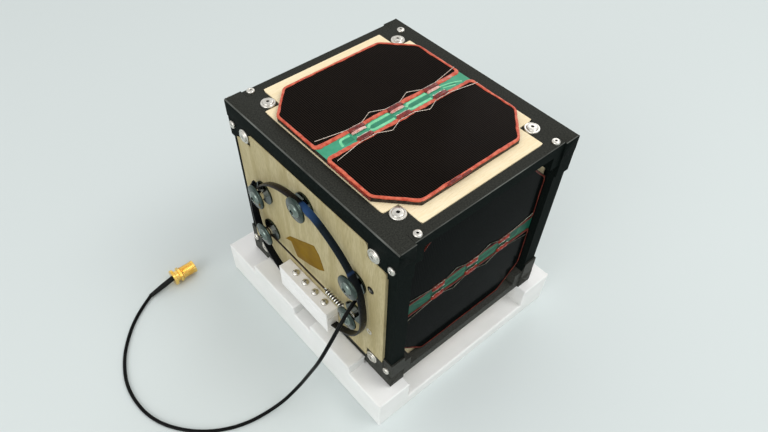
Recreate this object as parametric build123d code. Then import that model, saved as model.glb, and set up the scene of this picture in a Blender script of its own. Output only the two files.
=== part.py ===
from build123d import *
import math
import os
from collections import namedtuple

# One-unit cube satellite with a deployable tape antenna, on its display plinth.
# Millimetres. X runs along the rails, -Y is the antenna face, +Z is up.
# The satellite is worked out about the middle of its own underside, then set on the plinth.
# The part's origin is the middle of the plinth's underside.

# Cube and rails
CUBE = 100.0            # width and height over the rails
RAIL_LENGTH = 113.5     # over the rail ends
RAIL = 8.5              # side of a square rail
RAIL_EDGE = 1.0         # round on the rail's outer long edge
EAR_THICKNESS = 4.5     # depth of the screw ears on the rails
EAR_CORNER = 2.0        # round on an ear's free corner

# End frames
END_FRAME = 5.0         # thickness along X
END_SETBACK = 0.9       # end frame's outer face inside the rail ends
END_BEAM = 5.7          # height of the beams across each end
POST_STEP = 1.0         # post's outer face inside the rail's outer face
LUG_STEP = 0.3          # the same for the raised lugs that carry the side screws
LUG_HEIGHT = 10.5       # lug's length along the post, from the rail
GUSSET_WIDTH = 5.0      # inner corner pad, across
GUSSET_HEIGHT = 7.3     # inner corner pad, up or down from the beam

# Wooden panels
PANEL = 4.5             # thickness
PANEL_PROUD = 0.4       # outer face beyond the rails' faces
PANEL_SEAT = 0.45       # between an end panel and its end frame
FIT = 0.1               # clearance round each panel and where parts of the frame meet

# Closed stack of boards and battery
STACK = 71.0            # width and height
STACK_CLEARANCE = 0.3   # from the end panels

# Solar boards, one on each face but the antenna face
BOARD_SIDE_GAP = 1.35   # between a board's edge and the rails
BOARD_END_GAP = 0.65    # between a board's end and the beams
BOARD_SCREW_GAP = 7.2   # least distance between a board's end and the end frames
BOARD = 2.2             # thickness with its bonded carrier
BOARD_CHAMFER_LENGTH = 13.8
BOARD_CHAMFER_WIDTH = 13.3
CELL = 0.25             # thickness
CELL_MARGIN = 0.9       # from the board's edge
CELL_GAP = 9.4          # between the two cells of a board
BEAD = 0.6              # width of the sealant bead round a board
BEAD_RISE = 0.35        # bead's top above the board's face
BEAD_DEPTH = 0.9        # how far it reaches down the board's edge
PATCH_LENGTH = 8.0      # sealant patches over the cell tabs
PATCH_WIDTH = 3.0
PATCH_HEIGHT = 0.9
PATCH_BEVEL = 0.35
PATCH_INSET = 0.1       # between a patch and its cell
PATCH_PITCH = 20.7

# Screws
CORNER_SCREW = 6.8      # flange diameter of the large button heads
CORNER_FLANGE = 0.8     # flange thickness
CORNER_BUTTON = 5.4     # button's diameter where it meets the flange
CORNER_CROWN = 3.2      # and at its flat top
CORNER_BUTTON_HEIGHT = 1.5
CORNER_KEY = 2.0        # hexagon key, across flats
KEY_DEPTH = 1.0

# Antenna face
PILLAR_BASE = 12.0      # diameter of the polished discs
PILLAR_BASE_HEIGHT = 0.8
PILLAR_POST = 4.5       # diameter
PILLAR_GAP = 3.9        # between disc and head
PILLAR_HEAD = 12.2      # flange diameter
PILLAR_FLANGE = 1.0     # flange thickness
PILLAR_BUTTON = 7.6     # button's diameter where it meets the flange
PILLAR_CROWN = 4.4      # and at its flat top
PILLAR_BUTTON_HEIGHT = 1.7
PILLAR_KEY = 3.0        # hexagon key, across flats
TAPE_WIDTH = 3.3
TAPE = 0.4              # thickness
TAPE_LIFT = 1.0         # tape's inner edge above the panel
BLOCK_LEFT = -19.6      # root block's ends, its underside and its size
BLOCK_RIGHT = 18.6
BLOCK_BOTTOM = 10.6
BLOCK_HEIGHT = 14.8
BLOCK_DEPTH = 7.1
BLOCK_EDGE = 0.6
BLOCK_SPLIT = 0.25      # open line between the block and its cap
CAP_HEIGHT = 5.0
CREST_Z = 80.5          # top pillar, above the satellite's underside
SHOULDER_X = 33.5       # upper pair of pillars
SHOULDER_Z = 61.5
FOOT_X = 32.0           # lower pair
FOOT_Z = 37.0
LINE = 0.9              # restraint line's diameter
SPRING = 3.8            # restraint spring's outer diameter
SPRING_WIRE = 0.55
SPRING_LENGTH = 12.0
SPRING_HOOK = 3.4       # straight end from the coils to the pillar
FILM = 0.15             # adhesive film on the panel
INSERT = 3.4            # threaded inserts in the panel
INSERT_PROUD = 0.25

# Plinth
PLINTH_LENGTH = 129.6
PLINTH_WIDTH = 121.8
PLINTH_HEIGHT = 20.0
PLINTH_FLOOR = 7.5      # thickness under the open channel
PLINTH_EDGE = 1.2
LEDGE_HEIGHT = 6.0      # above the seat
LEDGE_EDGE = 1.0
LEDGE_CLEARANCE = 0.3   # between ledge and rail
SATELLITE_X = 3.0       # satellite's middle from the plinth's middle
SEAT = PLINTH_HEIGHT

# Aerial lead
COAX = 1.8
GLAND = 3.4             # sleeve that the lead leaves, and how far it stands out
GLAND_LENGTH = 1.6
SLEEVE = 3.0            # strain relief's diameter
SLEEVE_TIP = 2.3        # its thin end
SLEEVE_TAPER = 8.0
FLANGE = 9.3            # connector, from its back to its tip
FLANGE_LENGTH = 1.8
NECK = 5.6
NECK_LENGTH = 1.9
HEX = 7.0               # across flats
HEX_LENGTH = 1.7
BARREL = 6.35
BARREL_LENGTH = 8.6
BARREL_BORE = 4.6
BORE_DEPTH = 4.0
INSULATOR = 4.1
INSULATOR_RECESS = 0.8
PIN = 1.3

# Places worked out from the sizes above
HALF = CUBE / 2
END = RAIL_LENGTH / 2
FRAME_OUT = END - END_SETBACK
FRAME_IN = FRAME_OUT - END_FRAME
OPENING = HALF - RAIL           # half the clear width between two rails
BEAM_IN = HALF - END_BEAM
BOARD_LENGTH = 2 * min(BEAM_IN - BOARD_END_GAP, FRAME_IN - BOARD_SCREW_GAP)
BOARD_WIDTH = 2 * (OPENING - BOARD_SIDE_GAP)
END_FACE = FRAME_IN - PANEL_SEAT - PANEL_PROUD
PANEL_FACE = HALF + PANEL_PROUD
PANEL_BACK = PANEL_FACE - PANEL
LINE_HEIGHT = PILLAR_BASE_HEIGHT + SPRING / 2 + FIT
MIDDLE = Vector(0, 0, HALF)

# Sides of the cube: outward direction, direction of the board's long side, distance of the side
# from the cube's middle, ears of the two rails (length and width), corner screws in from the end
# frame and from the rail, and the board's shift along its long side
Side = namedtuple("Side", "name out along reach ear_length ear_width screw_end screw_rail shift")
SIDES = [
    Side("top", (0, 0, 1), (1, 0, 0), HALF, 12.8, 7.8, 9.2, 4.3, 0.7),
    Side("bottom", (0, 0, -1), (1, 0, 0), HALF, 12.8, 7.8, 9.2, 4.3, 0.0),
    Side("front", (0, -1, 0), (1, 0, 0), HALF, 11.0, 7.3, 7.2, 3.5, 0.0),
    Side("back", (0, 1, 0), (1, 0, 0), HALF, 11.0, 7.3, 7.2, 3.5, 0.0),
    Side("right", (1, 0, 0), (0, 0, 1), END_FACE, 0.0, 0.0, 0.0, 0.0, 0.0),
    Side("left", (-1, 0, 0), (0, 0, 1), END_FACE, 0.0, 0.0, 0.0, 0.0, 0.0),
]
LONG_SIDES = SIDES[:4]
END_SIDES = SIDES[4:]
TOP, BOTTOM, FRONT, BACK = LONG_SIDES

# Pillars that guide the tapes: across and up
Pillar = namedtuple("Pillar", "x z")
SPRING_PILLAR = Pillar(FOOT_X, FOOT_Z)
LINE_PILLAR = Pillar(-FOOT_X, FOOT_Z)
PILLARS = [
    Pillar(0.0, CREST_Z),
    Pillar(SHOULDER_X, SHOULDER_Z),
    Pillar(-SHOULDER_X, SHOULDER_Z),
    SPRING_PILLAR,
    LINE_PILLAR,
]

# Corners of the tapes' routes on the front face, across and up
TAPE_RIGHT = [
    (14.6, 12.4), (26.0, 16.6), (36.0, 24.5), (40.7, 36.0), (41.0, 50.0), (38.3, 63.5),
    (29.5, 73.2), (18.5, 80.1), (6.5, 84.3), (-7.0, 83.6), (-19.0, 79.6), (-29.5, 72.2),
    (-37.4, 61.8),
]
TAPE_LEFT = [
    (-15.6, 12.0), (-27.0, 17.0), (-35.8, 24.6), (-40.4, 35.5), (-41.3, 48.0), (-39.6, 59.5),
    (-36.9, 68.2),
]

# Film on the front panel and the inserts beside the tapes
FILM_OUTLINE = [
    (-21.0, 40.0), (-16.5, 45.5), (3.5, 56.8), (7.0, 53.0), (10.0, 45.0), (6.0, 41.8),
    (-2.0, 38.0), (-12.0, 34.5), (-16.0, 42.3),
]
INSERTS = [(42.2, 64.6), (41.6, 32.4)]

# Raised ledges along the plinth's front and back, from and to, about the satellite's middle
LEDGES = [(-42.0, -6.0), (7.7, 38.6)]

# Aerial lead's route in the part's frame, from the gland to the strain relief
LEAD_ROUTE = [
    (38.0, -52.0, 72.0), (39.0, -57.0, 70.2), (40.8, -64.5, 64.5), (40.5, -70.5, 55.0),
    (38.5, -75.0, 43.5), (34.0, -77.5, 30.5), (29.5, -82.0, 16.0), (25.0, -93.0, 1.5),
    (22.0, -113.5, 0.9), (10.5, -132.0, 0.9), (-8.5, -145.0, 0.9), (-30.5, -146.8, 0.9),
    (-48.2, -140.6, 0.9), (-62.6, -129.6, 0.9), (-72.0, -118.2, 1.0), (-76.4, -109.3, 1.5),
]
CONNECTOR_BACK = (-76.8, -94.4, FLANGE / 2)


def on_side(side, height):
    """Plane at a height above a side of the cube, its X along the board's long side."""
    out = Vector(*side.out)
    return Plane(origin=MIDDLE + out * (side.reach + height), x_dir=side.along, z_dir=side.out)


def four(u, v):
    """The four places at plus and minus u and v."""
    return [(a * u, b * v) for a in (-1, 1) for b in (-1, 1)]


def set_down(shape):
    """Move a shape from the satellite's own frame onto the plinth."""
    return Pos(SATELLITE_X, 0, SEAT) * shape


def write(name, *shapes):
    """Write the solids of one node, on the plinth."""
    solids = [solid for shape in shapes for solid in shape.solids()]
    export_step(Compound(children=solids), os.path.join("parts", name + ".step"))


def block(x, y, z):
    """A box from its lowest and highest values along X, Y and Z."""
    size = [high - low for low, high in (x, y, z)]
    middle = [(high + low) / 2 for low, high in (x, y, z)]
    return Pos(*middle) * Box(*size)


def button_head(flange, flange_height, button, crown, button_height, key):
    """A flanged button head standing on the plane Z = 0, with a hexagon socket in its top."""
    top = flange_height + button_height
    profile = make_face(Polyline(
        (0, 0), (flange / 2, 0), (flange / 2, flange_height), (button / 2, flange_height),
        (crown / 2, top), (0, top), close=True))
    socket = extrude(RegularPolygon(key / 2, 6, major_radius=False), -KEY_DEPTH)
    return revolve(Plane.XZ * profile, Axis.Z) - Pos(0, 0, top) * socket


def corner_screws():
    """Large button heads on the rails' ears, four on each long side."""
    head = button_head(
        CORNER_SCREW, CORNER_FLANGE, CORNER_BUTTON, CORNER_CROWN, CORNER_BUTTON_HEIGHT, CORNER_KEY)
    for side in LONG_SIDES:
        for u, v in four(FRAME_IN - side.screw_end, OPENING - side.screw_rail):
            yield on_side(side, 0) * Pos(u, v) * head


def upper_back_rail():
    """One rail with the two ears at each of its ends; the other rails are its mirror images."""
    bar = block((-END, END), (OPENING, HALF), (CUBE - RAIL, CUBE))
    outer = bar.edges().filter_by(Axis.X).sort_by(lambda edge: edge.center().Y + edge.center().Z)[-1]
    rail = fillet(outer, RAIL_EDGE)
    for side, across in ((TOP, 1), (BACK, -1)):
        # On the back side the plane's Y points down, towards the lower rail
        face = on_side(side, 0)
        up = 1 if side.name == "top" else face.y_dir.Z
        for end in (-1, 1):
            centre_u = end * (FRAME_IN - side.ear_length / 2)
            centre_v = up * (OPENING - side.ear_width / 2)
            plate = Rectangle(side.ear_length, side.ear_width)
            free = [v for v in plate.vertices() if v.X * end < 0 and v.Y * up < 0]
            plate = fillet(free, EAR_CORNER)
            rail += extrude(face * Pos(centre_u, centre_v) * plate, -EAR_THICKNESS)
    return rail


def rails():
    upper_back = upper_back_rail()
    lower_back = mirror(upper_back, Plane(origin=MIDDLE, z_dir=(0, 0, 1)))
    return {
        "rail_back_upper": upper_back,
        "rail_back_lower": lower_back,
        "rail_front_upper": mirror(upper_back, Plane.XZ),
        "rail_front_lower": mirror(lower_back, Plane.XZ),
    }


def right_end_frame():
    """Posts and beams across one end, notched for the rails, with screw lugs on its posts."""
    width = 2 * (HALF - POST_STEP)
    ring = Rectangle(width, CUBE) - Rectangle(2 * OPENING, 2 * BEAM_IN)
    for y, z in four(OPENING - GUSSET_WIDTH / 2, BEAM_IN - GUSSET_HEIGHT / 2):
        ring += Pos(y, z) * Rectangle(GUSSET_WIDTH, GUSSET_HEIGHT)
    for y, z in four(HALF, HALF):
        ring -= Pos(y, z) * Rectangle(2 * (RAIL + FIT), 2 * (RAIL + FIT))
    across = Plane(origin=(FRAME_IN, 0, HALF), x_dir=(0, 1, 0), z_dir=(1, 0, 0))
    frame = extrude(across * ring, END_FRAME)
    lug_top = OPENING - FIT
    for y_sign, z_sign in four(1, 1):
        y_range = sorted((y_sign * OPENING, y_sign * (HALF - LUG_STEP)))
        z_range = sorted((HALF + z_sign * (lug_top - LUG_HEIGHT), HALF + z_sign * lug_top))
        frame += block((FRAME_IN, END), y_range, z_range)
    return frame


def long_panel(side):
    """Wooden panel between two rails, with a square notch round each of their ears."""
    outline = Rectangle(2 * (FRAME_IN - FIT), 2 * (OPENING - FIT))
    notch_length = side.ear_length + FIT
    notch_width = side.ear_width + FIT
    for u_sign, v_sign in four(1, 1):
        notch = Rectangle(2 * notch_length, 2 * notch_width)
        outline -= Pos(u_sign * FRAME_IN, v_sign * OPENING) * notch
    return extrude(on_side(side, PANEL_PROUD) * outline, -PANEL)


def end_panel(side):
    """Wooden panel behind an end frame, inside the long panels and notched for the rails."""
    reach = min(PANEL_BACK, HALF - EAR_THICKNESS) - FIT
    outline = Rectangle(2 * reach, 2 * reach)
    for u, v in four(reach, reach):
        outline -= Pos(u, v) * Rectangle(2 * (reach - OPENING + FIT), 2 * (reach - OPENING + FIT))
    return extrude(on_side(side, PANEL_PROUD) * outline, -PANEL)


def octagon(length, width, chamfer_length, chamfer_width):
    """A rectangle with its four corners cut off."""
    u = length / 2
    v = width / 2
    quarter = [(u, v - chamfer_width), (u - chamfer_length, v)]
    points = quarter + [(-a, b) for a, b in reversed(quarter)] + [(-a, -b) for a, b in quarter]
    points += [(a, -b) for a, b in reversed(quarter)]
    return make_face(Polyline(*points, close=True))


def board_outline(grow=0.0):
    """A board's outline, grown by an even margin all round."""
    run = math.hypot(BOARD_CHAMFER_LENGTH, BOARD_CHAMFER_WIDTH)
    # An even margin moves each end of a cut corner along its edge by these amounts
    cut_length = BOARD_CHAMFER_LENGTH + grow * (1 + (BOARD_CHAMFER_LENGTH - run) / BOARD_CHAMFER_WIDTH)
    cut_width = BOARD_CHAMFER_WIDTH + grow * (1 + (BOARD_CHAMFER_WIDTH - run) / BOARD_CHAMFER_LENGTH)
    return octagon(BOARD_LENGTH + 2 * grow, BOARD_WIDTH + 2 * grow, cut_length, cut_width)


def solar_board(side):
    plane = on_side(side, PANEL_PROUD) * Pos(side.shift, 0)
    return extrude(plane * board_outline(), BOARD)


def solar_cells(side):
    """The two cells of a board, each with its outer corners cropped."""
    plane = on_side(side, PANEL_PROUD + BOARD) * Pos(side.shift, 0)
    gap = Rectangle(CELL_GAP, BOARD_WIDTH)
    return extrude(plane * (board_outline(-CELL_MARGIN) - gap), CELL)


def sealant(side):
    """The bead round a board's upper edge and the six patches over the cells' tabs."""
    plane = on_side(side, PANEL_PROUD) * Pos(side.shift, 0)
    ring = board_outline(BEAD) - board_outline()
    bead = extrude(plane * Pos(0, 0, BOARD - BEAD_DEPTH) * ring, BEAD_DEPTH + BEAD_RISE)
    pieces = [bead]
    patch_u = CELL_GAP / 2 - PATCH_INSET - PATCH_WIDTH / 2
    for u in (-patch_u, patch_u):
        for v in (-PATCH_PITCH, 0, PATCH_PITCH):
            patch = Box(PATCH_WIDTH, PATCH_LENGTH, PATCH_HEIGHT)
            patch = chamfer(patch.faces().sort_by(Axis.Z)[-1].edges(), PATCH_BEVEL)
            pieces.append(plane * Pos(u, v, BOARD + PATCH_HEIGHT / 2) * patch)
    return pieces


def turned(points):
    """Turn in degrees at each inner point of a route."""
    vectors = [Vector(*b) - Vector(*a) for a, b in zip(points, points[1:])]
    return [a.get_angle(b) for a, b in zip(vectors, vectors[1:])]


def rounded_route(points):
    """Straight runs joined by the largest arcs that fit, and the radii of those arcs."""
    runs = [(Vector(*b) - Vector(*a)).length for a, b in zip(points, points[1:])]
    radii = []
    for before, after, turn in zip(runs, runs[1:], turned(points)):
        radii.append(0.45 * min(before, after) / math.tan(math.radians(turn / 2)))
    return FilletPolyline(*points, radius=radii), radii


def swept_band(route, width, thickness):
    """A flat band standing on edge along a route in the plane of the front face."""
    start = Plane(origin=route @ 0, x_dir=(0, 1, 0), z_dir=route % 0)
    return sweep(start * Rectangle(width, thickness), path=route)


def tape_route(points):
    y = -(PANEL_FACE + TAPE_LIFT + TAPE_WIDTH / 2)
    return rounded_route([(x, y, z) for x, z in points])[0]


def tape(points):
    return swept_band(tape_route(points), TAPE_WIDTH, TAPE)


def tape_slot(points):
    """Room for a tape's root inside the root block."""
    root = [(x, -(PANEL_FACE + TAPE_LIFT + TAPE_WIDTH / 2), z) for x, z in points[:2]]
    return swept_band(Line(*root), TAPE_WIDTH + 2 * FIT, TAPE + 2 * FIT)


def root_block():
    """Block that clamps the roots of the tapes, and the cap that its screws hold down."""
    x = (BLOCK_LEFT, BLOCK_RIGHT)
    y = (-PANEL_FACE - BLOCK_DEPTH, -PANEL_FACE)
    top = BLOCK_BOTTOM + BLOCK_HEIGHT
    seam = top - CAP_HEIGHT
    base = block(x, y, (BLOCK_BOTTOM, seam - BLOCK_SPLIT))
    base = fillet(base.edges().filter_by(Axis.Z).sort_by(Axis.Y)[:2], BLOCK_EDGE)
    cap = block(x, y, (seam, top))
    cap = fillet(cap.edges().filter_by(Axis.Z).sort_by(Axis.Y)[:2], BLOCK_EDGE)
    for points in (TAPE_RIGHT, TAPE_LEFT):
        base -= tape_slot(points)
    return base, cap


def pillar_plane(pillar, height):
    return Plane(origin=(pillar.x, -PANEL_FACE - height, pillar.z), x_dir=(1, 0, 0), z_dir=(0, -1, 0))


def pillar_bases():
    for pillar in PILLARS:
        base = extrude(Circle(PILLAR_BASE / 2), PILLAR_BASE_HEIGHT)
        yield pillar_plane(pillar, 0) * base


def pillar_posts():
    for pillar in PILLARS:
        yield pillar_plane(pillar, PILLAR_BASE_HEIGHT) * extrude(Circle(PILLAR_POST / 2), PILLAR_GAP)


def pillar_heads():
    head = button_head(
        PILLAR_HEAD, PILLAR_FLANGE, PILLAR_BUTTON, PILLAR_CROWN, PILLAR_BUTTON_HEIGHT, PILLAR_KEY)
    for pillar in PILLARS:
        yield pillar_plane(pillar, PILLAR_BASE_HEIGHT + PILLAR_GAP) * head


def restraint():
    """Line drawn from one pillar to a coil spring hooked on the other."""
    y = -PANEL_FACE - LINE_HEIGHT
    z = SPRING_PILLAR.z
    hook_end = SPRING_PILLAR.x - PILLAR_POST / 2
    spring_end = hook_end - SPRING_HOOK
    spring_start = spring_end - SPRING_LENGTH
    along = Plane(origin=(LINE_PILLAR.x + PILLAR_POST / 2, y, z), z_dir=(1, 0, 0))
    line = extrude(along * Circle(LINE / 2), spring_start - LINE_PILLAR.x - PILLAR_POST / 2)
    coil = Plane(origin=(spring_start, y, z), z_dir=(1, 0, 0))
    spring = extrude(coil * Circle(SPRING / 2), SPRING_LENGTH)
    hook = Plane(origin=(spring_end, y, z), z_dir=(1, 0, 0))
    spring += extrude(hook * Circle(SPRING_WIRE / 2), hook_end - spring_end)
    return line, spring


def film():
    outline = make_face(Polyline(*FILM_OUTLINE, close=True))
    face = Plane(origin=(0, -PANEL_FACE, 0), x_dir=(1, 0, 0), z_dir=(0, -1, 0))
    return extrude(face * outline, FILM)


def inserts():
    """Threaded inserts that stand a little out of the front panel."""
    for x, z in INSERTS:
        plane = Plane(origin=(x, -PANEL_FACE, z), x_dir=(1, 0, 0), z_dir=(0, -1, 0))
        ring = Circle(INSERT / 2) - Circle(INSERT / 4)
        yield extrude(plane * ring, INSERT_PROUD)


def electronics():
    """The closed stack of boards and battery, carried between the two end panels."""
    reach = END_FACE + PANEL_PROUD - PANEL - STACK_CLEARANCE
    side = STACK / 2
    return block((-reach, reach), (-side, side), (HALF - side, HALF + side))


def plinth():
    """Display plinth: two walls with raised ledges, and an open channel along X between them."""
    half_length = PLINTH_LENGTH / 2
    half_width = PLINTH_WIDTH / 2
    base = block((-half_length, half_length), (-half_width, half_width), (0, PLINTH_HEIGHT))
    base = fillet(base.edges().filter_by(Axis.Z), PLINTH_EDGE)
    base -= block((-PLINTH_LENGTH, PLINTH_LENGTH), (-OPENING, OPENING), (PLINTH_FLOOR, 2 * PLINTH_HEIGHT))
    inner = HALF + LEDGE_CLEARANCE
    for start, stop in LEDGES:
        for sign in (-1, 1):
            y = sorted((sign * inner, sign * half_width))
            x = (SATELLITE_X + start, SATELLITE_X + stop)
            ledge = block(x, y, (SEAT, SEAT + LEDGE_HEIGHT))
            ledge = fillet(ledge.faces().sort_by(Axis.Z)[-1].edges(), LEDGE_EDGE)
            base += ledge
    return base


def aerial_lead():
    """The lead's tube from the gland to its strain relief, with its radii printed."""
    route, radii = rounded_route(LEAD_ROUTE)
    print("lead radii", [round(radius, 1) for radius in radii])
    start = Plane(origin=route @ 0, z_dir=route % 0)
    tube = sweep(start * Circle(COAX / 2), path=route)
    print("lead length", round(route.length, 2), "volume", round(tube.volume, 2),
          "section times length", round(math.pi * COAX ** 2 / 4 * route.length, 2))
    return tube


def lead_end(last):
    """Plane across the lead's first or last point, its normal along the lead."""
    ends = LEAD_ROUTE[-2:] if last else LEAD_ROUTE[:2]
    along = Vector(*ends[1]) - Vector(*ends[0])
    return Plane(origin=ends[1] if last else ends[0], z_dir=along.normalized())


def gland():
    """Sleeve in the front panel, cut square to the lead that leaves it."""
    plane = Plane(origin=(LEAD_ROUTE[0][0], -PANEL_FACE, LEAD_ROUTE[0][2]), z_dir=(0, -1, 0))
    sleeve = extrude(plane * Circle(GLAND / 2), 2 * GLAND_LENGTH)
    return split(sleeve, bisect_by=lead_end(False), keep=Keep.BOTTOM)


def strain_relief():
    """Tapered sleeve from the lead to the back of the connector, cut square to both."""
    start = Vector(*LEAD_ROUTE[-1])
    end = Vector(*CONNECTOR_BACK)
    length = (end - start).length
    spare = SLEEVE / 2
    profile = make_face(Polyline((0, -spare), (SLEEVE_TIP / 2, -spare), (SLEEVE_TIP / 2, 0),
                                 (SLEEVE / 2, SLEEVE_TAPER), (SLEEVE / 2, length + spare),
                                 (0, length + spare), close=True))
    sleeve = Plane(origin=start, z_dir=(end - start).normalized()) * revolve(Plane.XZ * profile, Axis.Z)
    sleeve = split(sleeve, bisect_by=lead_end(True), keep=Keep.TOP)
    return split(sleeve, bisect_by=Plane(origin=end, z_dir=(0, 1, 0)), keep=Keep.BOTTOM)


def connector():
    """Flange, neck, hexagon and threaded barrel in one body, and the insulator with its pin."""
    back = Plane(origin=CONNECTOR_BACK, x_dir=(1, 0, 0), z_dir=(0, 1, 0))
    hex_start = FLANGE_LENGTH + NECK_LENGTH
    barrel_start = hex_start + HEX_LENGTH
    tip = barrel_start + BARREL_LENGTH
    body = extrude(Circle(FLANGE / 2), FLANGE_LENGTH)
    body += Pos(0, 0, FLANGE_LENGTH) * extrude(Circle(NECK / 2), NECK_LENGTH)
    body += Pos(0, 0, hex_start) * extrude(RegularPolygon(HEX / 2, 6, major_radius=False), HEX_LENGTH)
    body += Pos(0, 0, barrel_start) * extrude(Circle(BARREL / 2), BARREL_LENGTH)
    body -= Pos(0, 0, tip - BORE_DEPTH) * extrude(Circle(BARREL_BORE / 2), BORE_DEPTH)
    insulator = Pos(0, 0, tip - BORE_DEPTH) * extrude(
        Circle(INSULATOR / 2) - Circle(PIN / 2), BORE_DEPTH - INSULATOR_RECESS)
    pin = Pos(0, 0, tip - BORE_DEPTH) * extrude(Circle(PIN / 2), BORE_DEPTH - INSULATOR_RECESS)
    return back * body, back * insulator, back * pin


def make_satellite():
    """Every node of the satellite, set on the plinth."""
    nodes = dict(rails())
    right_frame = right_end_frame()
    nodes["end_frame_right"] = right_frame
    nodes["end_frame_left"] = mirror(right_frame, Plane.YZ)
    for side in LONG_SIDES:
        nodes["panel_" + side.name] = long_panel(side)
    for side in END_SIDES:
        nodes["panel_" + side.name] = end_panel(side)
    for side in SIDES:
        if side is not FRONT:
            nodes["board_" + side.name] = solar_board(side)
            nodes["cells_" + side.name] = solar_cells(side)
            nodes["sealant_" + side.name] = sealant(side)
    nodes["corner_screws"] = list(corner_screws())
    nodes["electronics"] = electronics()
    nodes["tape_right"] = tape(TAPE_RIGHT)
    nodes["tape_left"] = tape(TAPE_LEFT)
    nodes["root_block"], nodes["root_block_cap"] = root_block()
    nodes["pillar_bases"] = list(pillar_bases())
    nodes["pillar_posts"] = list(pillar_posts())
    nodes["pillar_heads"] = list(pillar_heads())
    nodes["restraint_line"], nodes["restraint_spring"] = restraint()
    nodes["adhesive_film"] = film()
    nodes["panel_inserts"] = list(inserts())
    return {name: [set_down(s) for s in (shape if isinstance(shape, list) else [shape])]
            for name, shape in nodes.items()}


def main():
    os.makedirs("parts", exist_ok=True)
    nodes = make_satellite()
    nodes["plinth"] = [plinth()]
    nodes["cable_gland"] = [gland()]
    nodes["aerial_lead"] = [aerial_lead()]
    nodes["strain_relief"] = [strain_relief()]
    body, insulator, pin = connector()
    nodes["connector_body"] = [body]
    nodes["connector_insulator"] = [insulator]
    nodes["connector_pin"] = [pin]
    for name, shapes in nodes.items():
        write(name, *shapes)
    print(len(nodes), "nodes")


main()
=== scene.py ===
"""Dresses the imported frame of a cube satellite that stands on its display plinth.

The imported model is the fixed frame. Each sub-assembly is a class that builds the meshes which the solids
leave to the looks, and gives the solids their finishes. Sizes are in millimetres. Every mesh is written in
metres, in the part's frame, on an object that stays at the origin.
"""
import logging
import math
from collections.abc import Iterable, Mapping, Sequence
from dataclasses import dataclass, replace
from enum import Enum

import bmesh
import bpy
import numpy as np
from bmesh.types import BMEdge, BMFace, BMesh
from bpy.types import Curve, ID, Material, Mesh, Node, NodeSocket, NodeTree, Object
from mathutils import Matrix, Vector


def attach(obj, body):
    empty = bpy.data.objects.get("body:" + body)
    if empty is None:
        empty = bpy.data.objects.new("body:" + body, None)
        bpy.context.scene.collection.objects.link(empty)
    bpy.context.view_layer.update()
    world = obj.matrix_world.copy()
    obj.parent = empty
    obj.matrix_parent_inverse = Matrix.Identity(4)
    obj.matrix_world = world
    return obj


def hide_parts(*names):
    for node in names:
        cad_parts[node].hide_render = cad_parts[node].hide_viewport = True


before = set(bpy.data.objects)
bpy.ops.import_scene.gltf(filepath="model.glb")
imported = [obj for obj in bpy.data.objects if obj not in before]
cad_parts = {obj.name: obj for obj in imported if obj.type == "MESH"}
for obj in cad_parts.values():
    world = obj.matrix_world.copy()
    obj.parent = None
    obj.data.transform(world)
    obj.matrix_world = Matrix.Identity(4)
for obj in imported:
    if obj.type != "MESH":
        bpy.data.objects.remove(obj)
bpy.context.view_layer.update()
LOG = logging.getLogger("satellite")

# Two coordinates or sizes, three coordinates, and a flat line of points
Pair = tuple[float, float]
Point = tuple[float, float, float]
Line = Sequence[Pair]

MM = 0.001
TURN = 2 * math.pi
ROOT = "root"
# Origin of the satellite's own frame, at the middle of its underside, in the part's frame
SEAT = np.array((3.0, 0.0, 20.0))
# How far the cube's sides, its boards and the antenna panel's face lie from its middle
CUBE_HALF = 50.0
BOARD_FACE = 52.6
FRONT_FACE = 50.4
# Faces of the black frame whose middle is nearer the floor than this take a lighter grey: painted light
# reflected from the plinth
LOW_FACES = 34.0
# Corners nearer each other than this are one, in a new piece and in a copy of a solid
MERGE = 0.0005
COPY_MERGE = 0.001
# Edges that turn more than this many degrees stay sharp in the shading
CREASE = 35.0
# A face is level, or an edge lies along an axis, when its direction's share of the axis is over the first
# of these; a face that isn't level slants when its share is over the second
ALONG = 0.9
SLANTING = 0.45


def satellite(x: float, y: float, z: float) -> np.ndarray:
    """Give a point of the satellite's own frame in the part's frame, in millimetres."""
    return SEAT + (x, y, z)


def linear(code: str) -> tuple[float, float, float, float]:
    """Turn an sRGB hex colour into linear values.

    Args:
        code: The colour as "#rrggbb".

    Returns:
        Red, green, blue and an alpha of one.
    """
    raw = np.array([int(code[i:i + 2], 16) for i in (1, 3, 5)]) / 255
    values = np.where(raw <= 0.04045, raw / 12.92, ((raw + 0.055) / 1.055) ** 2.4)
    return (*map(float, values), 1.0)


def per_metre(size: float) -> float:
    """Give the texture scale whose pattern repeats about once in a size in millimetres."""
    return 1.0 / (size * MM)


def add(
    tree: NodeTree,
    kind: str,
    inputs: Mapping | None = None,
    stops: Sequence[tuple[float, str]] = (),
    **settings: object,
) -> Node:
    """Add a node with its settings and links.

    Args:
        tree: The node tree that gets the node.
        kind: The node's type, without its "ShaderNode" prefix.
        inputs: Values, or the outputs to link, by socket name or number.
        stops: Places and hex colours of a colour ramp.
        **settings: Properties of the node.

    Returns:
        The new node.
    """
    node = tree.nodes.new("ShaderNode" + kind)
    for name, value in settings.items():
        setattr(node, name, value)
    for key, value in (inputs or {}).items():
        if isinstance(value, NodeSocket):
            tree.links.new(value, node.inputs[key])
        else:
            node.inputs[key].default_value = value
    for number, (place, code) in enumerate(stops):
        ramp = node.color_ramp.elements
        stop = ramp[number] if number < 2 else ramp.new(place)
        stop.position = place
        stop.color = linear(code)
    return node


class Axis(Enum):
    """A direction of the part's frame, with its place in a vector."""

    X = 0
    Y = 1
    Z = 2


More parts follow.
